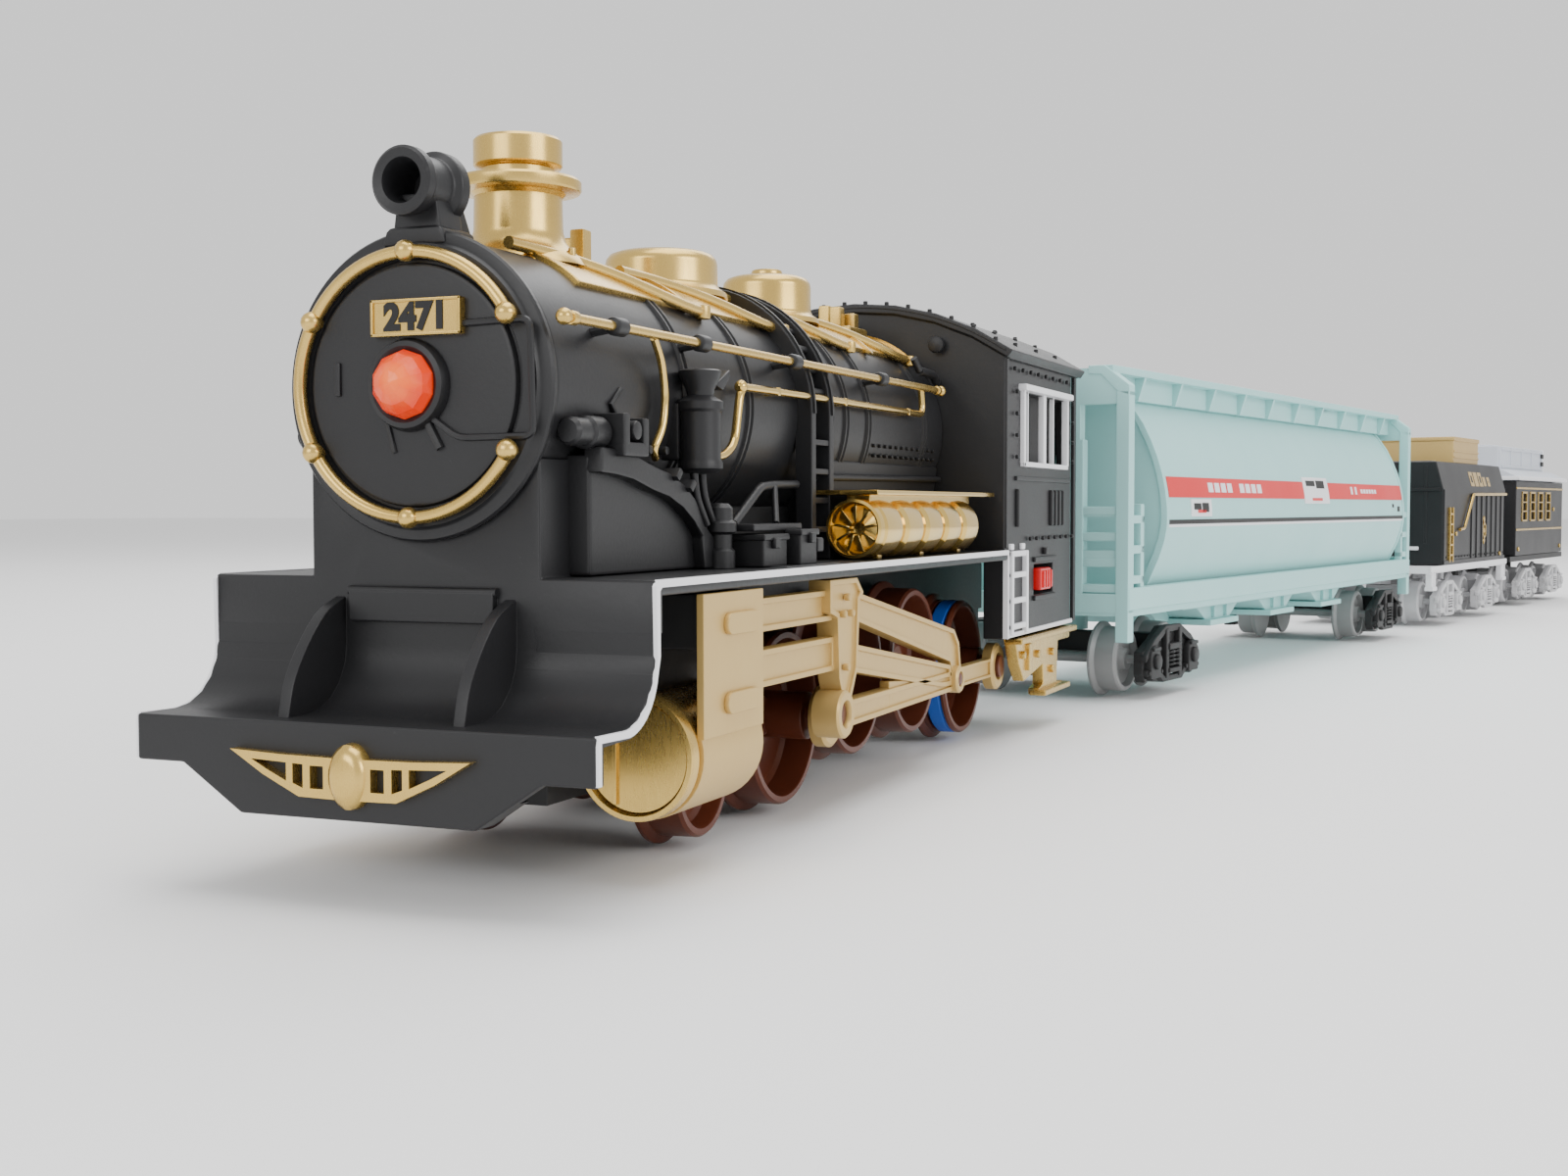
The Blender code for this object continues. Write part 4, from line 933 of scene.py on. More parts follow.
def white_edging():
    """Thin white line that follows the board, the riser and the deck's edge."""
    y = -BEAM_HALF
    outer = [(162.2, 36.1), (14.6, 36.1), (13.9, 35.4)] + front_sweep()[::-1][1:] + [(0.3, 20.0),
            (0.1, 19.0), (0.1, 14.6)]
    inner = [(0.9, 14.6), (0.9, 19.2), *[(x + 0.25, z - 0.9) for x, z in front_sweep()[1:-2]],
             (14.9, 27.4), (14.9, 34.8), (15.4, 35.2), (162.2, 35.2)]
    return outlined(outer + inner, y - 0.22, y + 0.3, "Y", 0)


def badge():
    """Winged badge with three openings each side of an oval boss."""
    middle = 14.1
    parts = []
    for side in (-1, 1):
        wing = [(side * 1.4, middle + 2.1), (side * 9.0, middle + 2.2), (side * 16.2, middle + 2.5),
                (side * 11.6, middle - 0.2), (side * 6.6, middle - 2.5), (side * 1.4, middle - 2.6)]
        plate = outlined(wing, -1.3, 0.2, "X", 0)
        hole_a = outlined([(side * 3.2, middle + 1.1), (side * 5.0, middle + 1.1),
                           (side * 5.0, middle - 1.5),
                           (side * 3.2, middle - 1.5)], -3, 2, "X", 0)
        hole_b = outlined([(side * 6.0, middle + 1.2), (side * 7.4, middle + 1.25),
                           (side * 7.4, middle - 1.0),
                           (side * 6.0, middle - 1.5)], -3, 2, "X", 0)
        hole_c = outlined([(side * 8.3, middle + 1.3), (side * 13.2, middle + 1.5),
                           (side * 11.0, middle + 0.4),
                           (side * 8.3, middle - 0.8)], -3, 2, "X", 0)
        parts.append(softened(cut(plate, hole_a, hole_b, hole_c), 0.18, 2, 30))
    boss = turned([(0, -2.1), (1.6, -2.05), (2.4, -1.8), (2.95, -1.1), (3.05, 0.1), (0, 0.1)], (0, 0, 0),
                  "X", 48)
    boss.data.transform(Matrix.Diagonal((1, 0.88, 1.25, 1)))
    settle(joined([*parts, shifted(boss, (0, 0, middle))]), "winged_badge", "engine", "gold",
           replaces=("front_badge",))


def wheel(radius, dish, groove=False):
    """One left wheel: flange inside, tread, plain deep dish and a small hub."""
    inner, outer, wall = WHEEL_BACK, WHEEL_FACE, 1.35
    floor = outer + dish
    profile = [(0, inner), (radius + 0.9, inner), (radius + 1.25, inner - 0.25),
               (radius + 1.25, inner - 0.8),
               (radius + 0.9, inner - 1.15), (radius + 0.1, inner - 1.5)]
    if groove:
        profile += [(radius, -15.5), (radius - 1.0, -15.6), (radius - 1.0, -19.0), (radius, -19.1)]
    profile += [(radius, outer + 0.45), (radius - 0.35, outer), (radius - wall + 0.2, outer),
                (radius - wall, outer + 0.3), (radius - wall - 0.35, floor - 0.6),
                (radius - wall - 1.0, floor)]
    profile += [(radius * 0.42, floor + 0.2), (radius * 0.4, floor - 0.3), (3.2, floor - 0.3),
                (2.9, floor - 1.4),
                (2.5, floor - 1.7), (1.2, floor - 1.7), (1.1, floor - 1.2), (0, floor - 1.2)]
    return turned(profile, (0, 0, 0), "Y", 72)


def wheel_pair(radius, dish, spot, crank=False, groove=False):
    """Both wheels of an axle, with crank pins where a side rod rides."""
    left = wheel(radius, dish, groove)
    parts = [left, mirrored(left), tube([(0, -13.5, 0), (0, 13.5, 0)], 1.2, 0, 4)]
    if crank:
        for side in (-1, 1):
            for radius, far, steps, soft in ((2.2, 26.9, 28, 0.3), (3.6, 22.6, 32, 0.4)):
                parts.append(disc(radius, *span(side, 14.6, far), (CRANK_THROW, 0, 0), "Y", steps, soft))
    return shifted(joined(parts), spot)


def engine_wheels():
    """The four driving pairs, the front pair and the two tyres."""
    for i, x in enumerate(DRIVER_AXLES):
        lift = LIFT if i in LIFTED_AXLES else 0.0
        pair = wheel_pair(DRIVER_RADIUS, 5.0, (x, 0, DRIVER_RADIUS + lift), i in CRANK_AXLES, i == 3)
        settle(pair, f"driving_wheels_{i + 1}", f"driving_axle_{i + 1}", "brown",
               replaces=(f"driving_wheelset_{i + 1}",), smooth=32)
    settle(wheel_pair(8.0, 3.0, (50.0, 0, 8.0)), "front_wheels", "pony_axle", "brown",
           replaces=("pony_wheelset",), smooth=32)
    for side, name in SIDES:
        low, high = span(side, 15.8, 18.9)
        band = [(12.1, low), (12.6, low), (13.0, low + 0.4), (13.0, high - 0.4), (12.6, high), (12.1, high)]
        tyre = turned(band, (DRIVER_AXLES[3], 0, DRIVER_RADIUS), "Y", 64, True)
        settle(tyre, f"rubber_tyre_{name}", "driving_axle_4", "blue", replaces=(f"traction_tyre_{name}",))


def side_rods():
    """Coupling rod each side, fluted, with large rings round both crank pins."""
    for side, name in SIDES:
        front, rear = (DRIVER_AXLES[i] + CRANK_THROW for i in CRANK_AXLES)
        rod = beamed([(front, 11.2), (rear, 11.2), (rear, 14.8), (front, 14.8)], -26.0, -24.2, 0.6, 0.5)
        holes = [disc(3.0, -30, -20, (x, 0, DRIVER_RADIUS), "Y", 32, 0) for x in (front, rear)]
        parts = [cut(rod, *holes)]
        for x in (front, rear):
            ring = [(2.45, -25.6), (2.7, -26.3), (4.1, -26.3), (4.6, -25.9), (4.6, -24.1), (2.45, -24.1)]
            parts.append(turned(ring, (x, 0, DRIVER_RADIUS), "Y", 40, True))
        whole = on_side(joined(parts), side)
        settle(whole, f"coupling_rod_{name}", f"{name}_side_rod", "tan", replaces=(f"side_rod_{name}",))


def cylinder_cover():
    """Side plate that wraps round under the cylinder, seen from the front as a thin strip."""
    outer = [(-31.1, 33.9), (-31.1, 16.4)] + arc((-23.1, CYLINDER_Z), 8.0, 165, 300, 16)
    inner = arc((-23.1, CYLINDER_Z), 7.1, 300, 165, 16) + [(-30.1, 16.6), (-30.1, 33.9)]
    return outlined(outer + inner, 26.6, 44.6, "X", 0.25)


def valve_gear():
    """Cylinder cover, slide bars, hanging bracket and fluted rods of the left side."""
    parts = [cylinder_cover()]
    for z in (30.0, 20.2):
        pill = arc((41.2, z), 1.55, -90, 90, 8) + arc((33.6, z), 1.55, 90, 270, 8)
        parts.append(softened(recessed(outlined(pill, -32.0, -30.9, "Y", 0), Vector((0, -1, 0)), 0.35,
                                       0.2), 0.15))
    plates = (
        [(44.4, 28.0), (73.1, 28.0), (73.1, 32.4), (44.4, 32.4)],
        [(44.4, 20.7), (74.0, 20.7), (74.0, 25.6), (44.4, 25.6)],
        [(82.0, 31.9), (132.7, 22.9), (135.6, 20.4), (137.0, 14.6), (132.4, 14.0), (130.4, 17.4),
         (82.0, 27.6)],
        [(80.6, 24.2), (130.6, 16.8), (131.6, 13.2), (126.0, 13.4), (80.6, 20.0)],
        [(77.0, 15.7), (133.6, 15.6), (135.0, 12.2), (77.0, 11.8)],
    )
    parts.append(outlined([(99.5, 16.8), (131.0, 14.6), (131.0, 12.4), (99.5, 12.4)], -29.1, -27.4, "Y",
                          0.2))
    parts += [beamed(points, -29.6, -27.2, 0.8, 0.55) for points in plates]
    bracket = [(70.4, 33.9), (81.4, 33.9), (84.2, 31.6), (82.4, 30.4), (81.6, 20.4), (78.4, 15.4),
               (76.2, 15.0),
               (74.0, 19.6), (73.4, 28.4), (70.4, 29.2)]
    parts.append(beamed(bracket, -30.4, -27.0, 0.8, 0.5))
    for x, z, radius, front in ((74.8, 14.3, 3.5, -31.2), (133.4, 14.1, 2.4, -30.6)):
        ring = [(radius * 0.5, front + 0.6), (radius * 0.6, front), (radius - 0.3, front),
                (radius, front + 0.3),
                (radius, -27.0), (radius * 0.5, -27.0)]
        parts.append(turned(ring, (x, 0, z), "Y", 36, True))
    for x, z in ((75.4, 28.8), (78.6, 28.8), (77.0, 31.2), (76.6, 21.0)):
        parts.append(disc(0.55, -31.0, -30.0, (x, 0, z), "Y", 12, 0.2))
    parts.append(tube([(44.0, -28.2, 23.4), (73.6, -28.2, 23.4)], 0.7, 0))
    return joined(parts)


def cylinder_end():
    """Bronze-gold cylinder with a rimmed end disc and its mould seam, left side."""
    barrel = [(0, 24.2), (6.7, 24.2), (6.85, 24.6), (6.9, 24.0), (7.1, 23.5), (7.7, 23.5), (7.8, 24.0),
              (7.8, 25.4),
              (7.4, 25.8), (7.4, 43.4), (7.0, 44.0), (0, 44.1)]
    return joined([turned(barrel, (0, -23.2, CYLINDER_Z), "X", 72),
                   slab((23.7, 24.4), (-20.7, -20.2), (8.4, 20.4), 0.12)])


def cylinder_saddle():
    """Dark block that hangs the left cylinder from the board."""
    neck = [(-22.0, 17.0), (-17.6, 17.0), (-17.6, 28.0), (-24.0, 28.0)]
    return joined([slab((28.4, 43.4), (-30.0, -17.6), (27.0, 33.8), 0.4),
                   outlined(neck, 28.8, 43.0, "X", 0.3)])


def valve_pins():
    """Brown pins that hold the rods of the left side."""
    spots = ((74.8, 14.3, 1.7), (133.4, 14.1, 1.15))
    return joined([disc(radius, -30.6, -27.2, (x, 0, z), "Y", 20, 0.3) for x, z, radius in spots])


# ---------------------------------------------------------------- locomotive: cab

def roof_z(y, rise=0.0):
    """Height of the cab roof over a point of its width."""
    radius = (9.1 ** 2 + CAB_HALF ** 2) / 18.2
    return 82.8 - radius + math.sqrt((radius + rise) ** 2 - y ** 2)


def cab_roof_rows():
    """Low rim and rivet row round the front of the roof, and ribs across it."""
    parts = []
    span = [-30.6 + 61.2 * i / 28 for i in range(29)]
    for x, width, rise in ((161.6, 1.6, 0.8), (176.0, 1.0, 0.9), (192.0, 1.0, 0.9), (208.0, 1.0, 0.9),
                           (220.6, 1.6, 0.9)):
        upper = [(y, roof_z(y, rise)) for y in span]
        lower = [(y, roof_z(y, 0.2)) for y in reversed(span)]
        parts.append(outlined(upper + lower, x, x + width, "X", 0.15))
    stud = disc(0.45, 0, 1.2, (162.4, 0, 0), "Z", 8, 0.15)
    parts.append(repeated(stud, [(x, y, roof_z(y, 0.5)) for x in (0, 14.1, 30.1,
                                                                  46.1) for y in span[1:-1:2]]))
    for y in (-17.0, 0.0, 17.0):
        parts.append(disc(1.6, 160.6, 161.8, (0, y, 75.4 if y else 78.2), "X", 20, 0.4))
    return joined(parts)


def cab_side():
    """Panels, ribs, louvres and rivets of the left cab side."""
    y = -CAB_HALF
    parts = [slab((163.0, 164.4), (y - 0.35, y + 0.4), (36.4, 73.4), 0.2)]
    parts += blocks(
        ((217.4, 219.4), (y - 0.4, y + 0.4), (19.4, 73.4), 0.2),
        ((163.0, 219.6), (y - 0.9, y + 0.4), (72.4, 74.6), 0.4),
        ((170.0, 214.0), (y - 0.5, y + 0.4), (49.4, 50.3), 0.2),
    )
    for x, width in ((170.6, 1.5), (197.2, 1.5), (200.4, 1.5), (203.6, 1.5), (206.8, 1.5)):
        parts.append(slab((x, x + width), (y - 0.7, y + 0.3), (40.4, 47.8), 0.35))
    stud = disc(0.42, y - 0.85, y - 0.2, (0, 0, 0), "Y", 8, 0.15)
    spots = [(x, 0, z) for x in (169.8, 215.6) for z in (54.0, 58.2, 62.4, 66.6)]
    spots += [(x, 0, 70.9) for x in range(168, 218, 6)] + [(x, 0, 38.0) for x in range(180, 216, 5)]
    parts.append(repeated(stud, spots))
    parts += blocks(
        ((184.0, 201.4), (y - 0.6, y + 0.3), (25.4, 26.4), 0.2),
        ((184.0, 201.4), (y - 0.6, y + 0.3), (33.2, 34.2), 0.2),
        ((191.6, 193.4), (y - 0.9, y + 0.3), (34.6, 36.0), 0.3),
    )
    return joined(parts)


def cab_window():
    """Thin white window frame with two openings and a hooded top rail, left side."""
    y = -CAB_HALF
    parts = [slab((174.0, 175.2), (y - 0.9, y + 0.6), (52.2, 68.0), 0.25),
             slab((209.6, 210.6), (y - 0.9, y + 0.6), (52.2, 68.0), 0.25),
             slab((174.0, 210.6), (y - 0.9, y + 0.6), (52.2, 53.2), 0.25),
             slab((172.6, 211.6), (y - 1.7, y + 0.6), (67.0, 68.3), 0.3),
             slab((191.4, 193.6), (y - 0.3, y + 1.0), (52.8, 67.4), 0.25)]
    for x in (179.8, 200.6):
        parts.append(slab((x, x + 0.5), (y, y + 1.0), (53.0, 67.2), 0.12))
    return joined(parts)


def cab_ladder():
    """White steps and white edge line of the left cab side."""
    y = -CAB_HALF
    parts = [slab((x, x + 1.3), (y - 1.0, y + 0.3), (19.6, 35.8), 0.2) for x in (165.2, 175.9)]
    parts += [slab((165.2, 177.2), (y - 0.8, y + 0.2), (z, z + 1.1), 0.2) for z in (20.6, 25.6, 30.6, 34.7)]
    parts += [slab((163.0, 216.6), (y - 0.4, y + 0.4), (19.1, 20.0), 0.12)]
    parts += [slab((162.8, 163.7), (y - 0.75, y + 0.4), (19.1, 36.0), 0.12)]
    parts += [slab((x, x + 2.2), (y - 0.6, y + 0.2), (36.0, 37.2), 0.2) for x in (165.6, 173.8)]
    return joined(parts)


def cab_inside():
    """Back-head with dials and a seat, seen through the rear opening."""
    parts = [outlined([(-15, 37.2), *arc((0, 56), 15.0, 180, 0, 20), (15, 37.2)],
                      164.9, 168.4, "X", 0.6)]
    parts += [disc(1.9, 168.2, 169.6, (0, y, z), "X", 24, 0.3) for y, z in ((-5, 63), (0, 65.4), (5, 63))]
    parts.append(disc(4.2, 168.2, 169.8, (0, 0, 49.0), "X", 32, 0.5))
    parts.append(slab((196.0, 206.0), (-24.0, -12.0), (37.2, 46.0), 0.8))
    for low, high in ((-27.4, -26.6), (26.6, 27.4)):
        parts.append(slab((172.0, 214.0), (low, high), (50.6, 69.2), 0.2))
        parts += [slab((x, x + 1.6), (low - 0.8, high + 0.8), (50.6, 69.2), 0.3) for x in (182.6, 187.4,
                                                                                           204.2)]
    settle(joined(parts), "cab_backhead", "engine", "underframe")


def cab():
    from_cad("cab_shell", "black", 0.3, 40.0)
    settle(cab_roof_rows(), "cab_roof_rows", "engine", "black")
    both_sides(cab_side, "cab_side_panel", "engine", "black")
    both_sides(cab_window, "cab_window_frame", "engine", "white")
    both_sides(cab_ladder, "cab_ladder", "engine", "white")
    cab_inside()
    knob = slab((186.2, 194.8), (-31.4, -28.4), (27.4, 31.9), 0.5)
    grip = [slab((187.2 + i * 2.0, 188.1 + i * 2.0), (-31.8, -31.0), (27.9, 31.4), 0.15) for i in range(4)]
    settle(joined([knob, *grip]), "power_switch_knob", "power_switch", "red", replaces=("switch_knob",))


def cab_step():
    """Two-tread gold footstep of the left side."""
    outline = [(171.4, 18.6), (214.6, 18.6), (216.6, 17.4), (216.6, 15.8), (206.2, 15.8), (205.2, 7.4),
               (210.2, 7.0),
               (210.2, 5.7), (190.4, 5.7), (190.4, 7.0), (194.0, 7.8), (193.4, 11.8), (178.4, 9.6),
               (174.4, 13.4)]
    parts = [outlined(outline, -30.0, -27.6, "Y", 0.25)]
    for x, z, width in ((189.6, 5.6, 21.4), (171.0, 17.4, 46.0)):
        parts.append(slab((x, x + width), (-31.6, -28.0), (z, z + 1.2), 0.3))
    parts.append(slab((180.0, 182.6), (-30.7, -29.4), (11.6, 17.0), 0.25))
    for x, z in ((176.6, 15.0), (188.0, 14.4), (199.8, 14.0), (199.6, 10.4)):
        parts.append(disc(0.8, -30.8, -29.2, (x, 0, z), "Y", 14, 0.2))
    return joined(parts)


def locomotive():
    for build in (boiler, band_ladder, smokebox, door_ring, number_plate, headlamp, chimney, boiler_top,
                  running_plate, badge, engine_wheels, side_rods, cab):
        build()
    handrail()
    for make, name, finish, replaces in (
        (rail_sleeves, "rail_sleeves", "black", None), (side_pipes, "side_pipes", "polished_gold", None),
        (steam_casing, "steam_casing", "black", None), (pump, "air_pump", "black", None),
        (tool_boxes, "tool_boxes", "black", None), (air_tank, "reservoir", "polished_gold", "air_tank"),
        (white_edging, "white_edging", "white", None), (valve_gear, "motion", "tan", "valve_gear"),
        (cylinder_end, "cylinder_end", "gold", None),
        (cylinder_saddle, "cylinder_saddle", "underframe", None),
        (valve_pins, "motion_pins", "brown", None), (cab_step, "footstep", "gold", "cab_step"),
    ):
        both_sides(make, name, "engine", finish, replaces)
    from_cad("motor_gearbox", "steel", 0.2)


# ---------------------------------------------------------------- bogies

def carrier_wheels(vehicle, finish):
    """Grooved tread wheels of one vehicle, modelled once and copied to each axle."""
    radius = 7.75
    rim = [(0, -13.2), (radius + 0.9, -13.2), (radius + 1.25, -13.5), (radius + 1.25, -14.0),
           (radius + 0.9, -14.4), (radius + 0.15, -14.8), (radius, -19.4), (radius - 0.35, -19.9),
           (radius - 1.1, -20.0), (radius - 1.4, -19.6), (radius - 1.8, -18.6), (3.2, -18.3),
           (2.7, -18.9), (2.5, -20.2), (1.1, -20.3), (1.0, -22.6), (0.6, -22.9), (0, -22.9)]
    left = turned(rim, (0, 0, 0), "Y", 48)
    model = joined([left, mirrored(left), tube([(0, -13.6, 0), (0, 13.6, 0)], 1.2, 0, 4)])
    turn = {"hopper": HOPPER, "tender": TENDER, "coach": COACH}[vehicle].to_3x3().to_4x4()
    for end in ("front", "rear"):
        for spot in ("front", "rear"):
            body = f"{vehicle}_{end}_bogie_{spot}_axle"
            pair = copied(model)
            place = Matrix.Translation(joint_spot(f"{body}_spin")) @ turn
            settle(pair, f"{body}_wheels", body, finish, place,
                   (f"{vehicle}_{end}_bogie_{spot}_wheelset",), 32.0)
    bpy.data.objects.remove(model)


def coil(centre, y, radius=1.25, low=5.4, high=9.4, turns=4):
    """A small moulded spring."""
    steps = turns * 10
    line = [(centre + radius * math.cos(math.tau * i / 10), y + radius * math.sin(math.tau * i / 10),
             low + (high - low) * i / steps) for i in range(steps + 1)]
    return tube(line, 0.36, 0, 1)


def side_frame():
    """Left side of a bogie: arch bar, column guides, springs and axle boxes."""
    y = -25.9
    upper = [(-18.2, 9.0), (-12.6, 12.6), (-5.0, 15.6), (5.0, 15.6), (12.6, 12.6), (18.2, 9.0), (18.2, 7.4),
             (12.0, 11.0), (4.6, 14.0), (-4.6, 14.0), (-12.0, 11.0), (-18.2, 7.4)]
    lower = [(-17.4, 5.6), (-9.2, 5.4), (-5.8, 3.4), (5.8, 3.4), (9.2, 5.4), (17.4, 5.6), (17.4, 4.0),
             (9.6, 3.8), (6.2, 2.0), (-6.2, 2.0), (-9.6, 3.8), (-17.4, 4.0)]
    parts = [outlined(upper, y - 1.0, y + 0.6, "Y", 0.25), outlined(lower, y - 1.0, y + 0.6, "Y", 0.25)]
    for x in (-13.0, 13.0):
        box = arc((x, 7.9), 3.4, 0, 180, 10) + [(x - 3.4, 3.4), (x + 3.4, 3.4)]
        parts.append(outlined(box, y - 1.6, y + 0.4, "Y", 0.4))
        parts.append(disc(1.9, y - 2.5, y - 1.2, (x, 0, 7.4), "Y", 20, 0.4))
        parts.append(slab((x - 2.4, x + 2.4), (y - 2.0, y - 1.2), (10.0, 10.9), 0.25))
    for x in (-5.4, 3.4):
        parts.append(slab((x, x + 2.0), (y - 1.3, y + 0.6), (2.8, 14.8), 0.3))
    parts += [coil(x, y - 0.5) for x in (-1.8, 1.8)]
    parts += blocks(
        ((-4.0, 4.0), (y - 1.7, y + 0.6), (9.6, 11.2), 0.3),
        ((-4.0, 4.0), (y - 1.7, y + 0.6), (4.0, 5.2), 0.3),
    )
    for x in (-16.6, -8.6, 8.6, 16.6):
        parts.append(disc(0.55, y - 1.5, y - 0.8, (x, 0, 4.8), "Y", 8, 0.15))
    return joined(parts)


def bogies(vehicle, place, finish):
    """Detailed side frames on both bogies of one vehicle."""
    left = side_frame()
    model = joined([left, mirrored(left)])
    for end in ("front", "rear"):
        name = f"{vehicle}_{end}_bogie"
        spot = joint_spot(f"{name}_swivel")
        level = Matrix.Translation((spot.x, spot.y, place.translation.z)) @ place.to_3x3().to_4x4()
        settle(copied(model), f"{name}_side_frames", name, finish, level)
        from_cad(name, finish, 0.25)
    bpy.data.objects.remove(model)


# ---------------------------------------------------------------- hopper wagon

BELLY = [(22.0, 22.4), (24.6, 27.6), (26.6, 32.0), (27.9, 36.0), (28.5, 39.0), (28.6, 41.0), (28.55, 44.0),
         (28.1, 48.0), (27.3, 52.0), (26.1, 56.0), (24.5, 60.0), (22.5, 64.0), (20.2, 67.4), (17.4, 70.8),
         (15.0, 73.0)]


def belly_width(z):
    """Half width of the hopper body at a height."""
    for (y0, z0), (y1, z1) in zip(BELLY, BELLY[1:]):
        if z0 <= z <= z1:
            return y0 + (y1 - y0) * (z - z0) / (z1 - z0)
    return BELLY[-1][0]


def skin_patch(start, stop, low, high, lift=0.12, rows=5):
    """A thin printed patch that follows the left side of the hopper body."""
    levels = [low + (high - low) * i / rows for i in range(rows + 1)]
    outer = [(-belly_width(z) - lift, z) for z in levels]
    inner = [(-belly_width(z) + 0.3, z) for z in reversed(levels)]
    return outlined(outer + inner, start, stop, "X", 0)


def hopper_body():
    """Barrel-sided body with a rolled edge at each end, ribs and discharge chutes."""
    outline = BELLY + [(-y, z) for y, z in reversed(BELLY)]
    body = outlined(outline, 3.2, 236.8, "X", 0.9)
    settle(body, "hopper_barrel", "hopper_wagon", "aqua", HOPPER, ("hopper_body",), 30.0)
    lips = []
    for x in (2.4, 236.0):
        rim = [(y * 1.012, 22.2 + (z - 22.4) * 1.012) for y, z in outline]
        inner = [(y * 0.955, 24.0 + (z - 22.4) * 0.95) for y, z in outline]
        ring = outlined(rim, x, x + 1.6, "X", 0)
        lips.append(softened(cut(ring, outlined(inner, x - 1, x + 3, "X", 0)), 0.2))
    settle(joined(lips), "hopper_end_lips", "hopper_wagon", "aqua", HOPPER)
    chutes = []
    for start in (38.0, 90.0, 142.0):
        side = [(start, 21.6), (start + 48.0, 21.6), (start + 33.0, 14.2), (start + 14.0, 14.2)]
        chutes.append(outlined(side, -21.6, 21.6, "Y", 0.5))
        chutes.append(slab((start + 12.0, start + 35.0), (-23.6, 23.6), (13.0, 14.6), 0.3))
        for x in (start + 18.0, start + 28.0):
            chutes.append(outlined([(-22.6, 21.8), (-22.6, 15.0), (-21.0, 15.0), (-21.0, 21.8)], x,
                                   x + 1.2, "X", 0.2))
    chutes.append(slab((24.0, 214.0), (-25.4, 25.4), (18.4, 22.6), 0.4))
    settle(joined(chutes), "hopper_chutes", "hopper_wagon", "aqua", HOPPER)


def hopper_walk():
    """Roof walk with its side fascias and gussets."""
    parts = []
    for side in (-1, 1):
        low, high = span(side, 19.2, 23.0)
        parts.append(slab((-17.4, 252.8), (low, high), (75.2, 77.0), 0.25))
        low, high = span(side, 17.4, 20.0)
        parts.append(slab((-14.0, 250.0), (low, high), (69.8, 75.6), 0.25))
        for i in range(10):
            x = 4.0 + i * 25.6
            rib = [(side * 22.6, 75.4), (side * 19.4, 75.4), (side * 19.4, 69.6), (side * 20.8, 69.6)]
            parts.append(outlined(rib, x, x + 1.4, "X", 0.15))
    parts.append(slab((-14.0, 250.0), (-18.0, 18.0), (72.6, 73.6), 0.2))
    for i in range(24):
        parts.append(slab((-10.0 + i * 10.8, -8.4 + i * 10.8), (-18.0, 18.0), (73.4, 75.6), 0.15))
    settle(joined(parts), "hopper_roof_walk", "hopper_wagon", "aqua", HOPPER)


def hopper_ends():
    """End posts, sloped head rails, end panels and ladders."""
    from_cad("hopper_frame", "aqua", 0.25)
    parts = []
    for x, out in ((-17.6, -1), (250.0, 1)):
        front, back = x, x + 3.0
        for side in (-1, 1):
            near, far = span(side, 27.2, 24.0)
            parts.append(slab((front - 0.3, back + 0.3), (near, far), (13.0, 71.0), 0.3))
            head = [(side * 27.2, 69.6), (side * 27.2, 72.2), (side * 21.0, 77.0), (side * 17.0, 77.0),
                    (side * 17.0, 75.0), (side * 20.2, 74.8), (side * 24.4, 70.6)]
            parts.append(outlined(head, front - 0.3, back + 0.3, "X", 0.3))
            rails = span(side, 13.4, 15.8)
            parts.append(slab((front, back), rails, (20.0, 60.0), 0.3))
            for z in (24.4, 30.4, 36.4, 42.4):
                rung = span(side, 13.4, 26.0)
                parts.append(slab((front + 0.2, back - 0.2), rung, (z, z + 2.0), 0.3))
            side_rail = span(side, 24.6, 26.8)
            start, stop = (back + 5.6, back + 7.8) if out < 0 else (front - 7.8, front - 5.6)
            parts.append(slab((start, stop), side_rail, (20.0, 45.0), 0.3))
            reach = (back - 0.2, stop) if out < 0 else (start, front + 0.2)
            for z in (26.4, 33.4, 40.4):
                parts.append(slab(reach, side_rail, (z, z + 2.0), 0.3))
        parts.append(slab((front - 0.2, back + 0.2), (-27.2, 27.2), (19.6, 24.2), 0.35))
    for side in (-1, 1):
        sill = span(side, 24.6, 27.4)
        parts.append(slab((-17.6, 253.0), sill, (20.4, 25.6), 0.35))
    settle(joined(parts), "hopper_cage_rails", "hopper_wagon", "aqua", HOPPER)


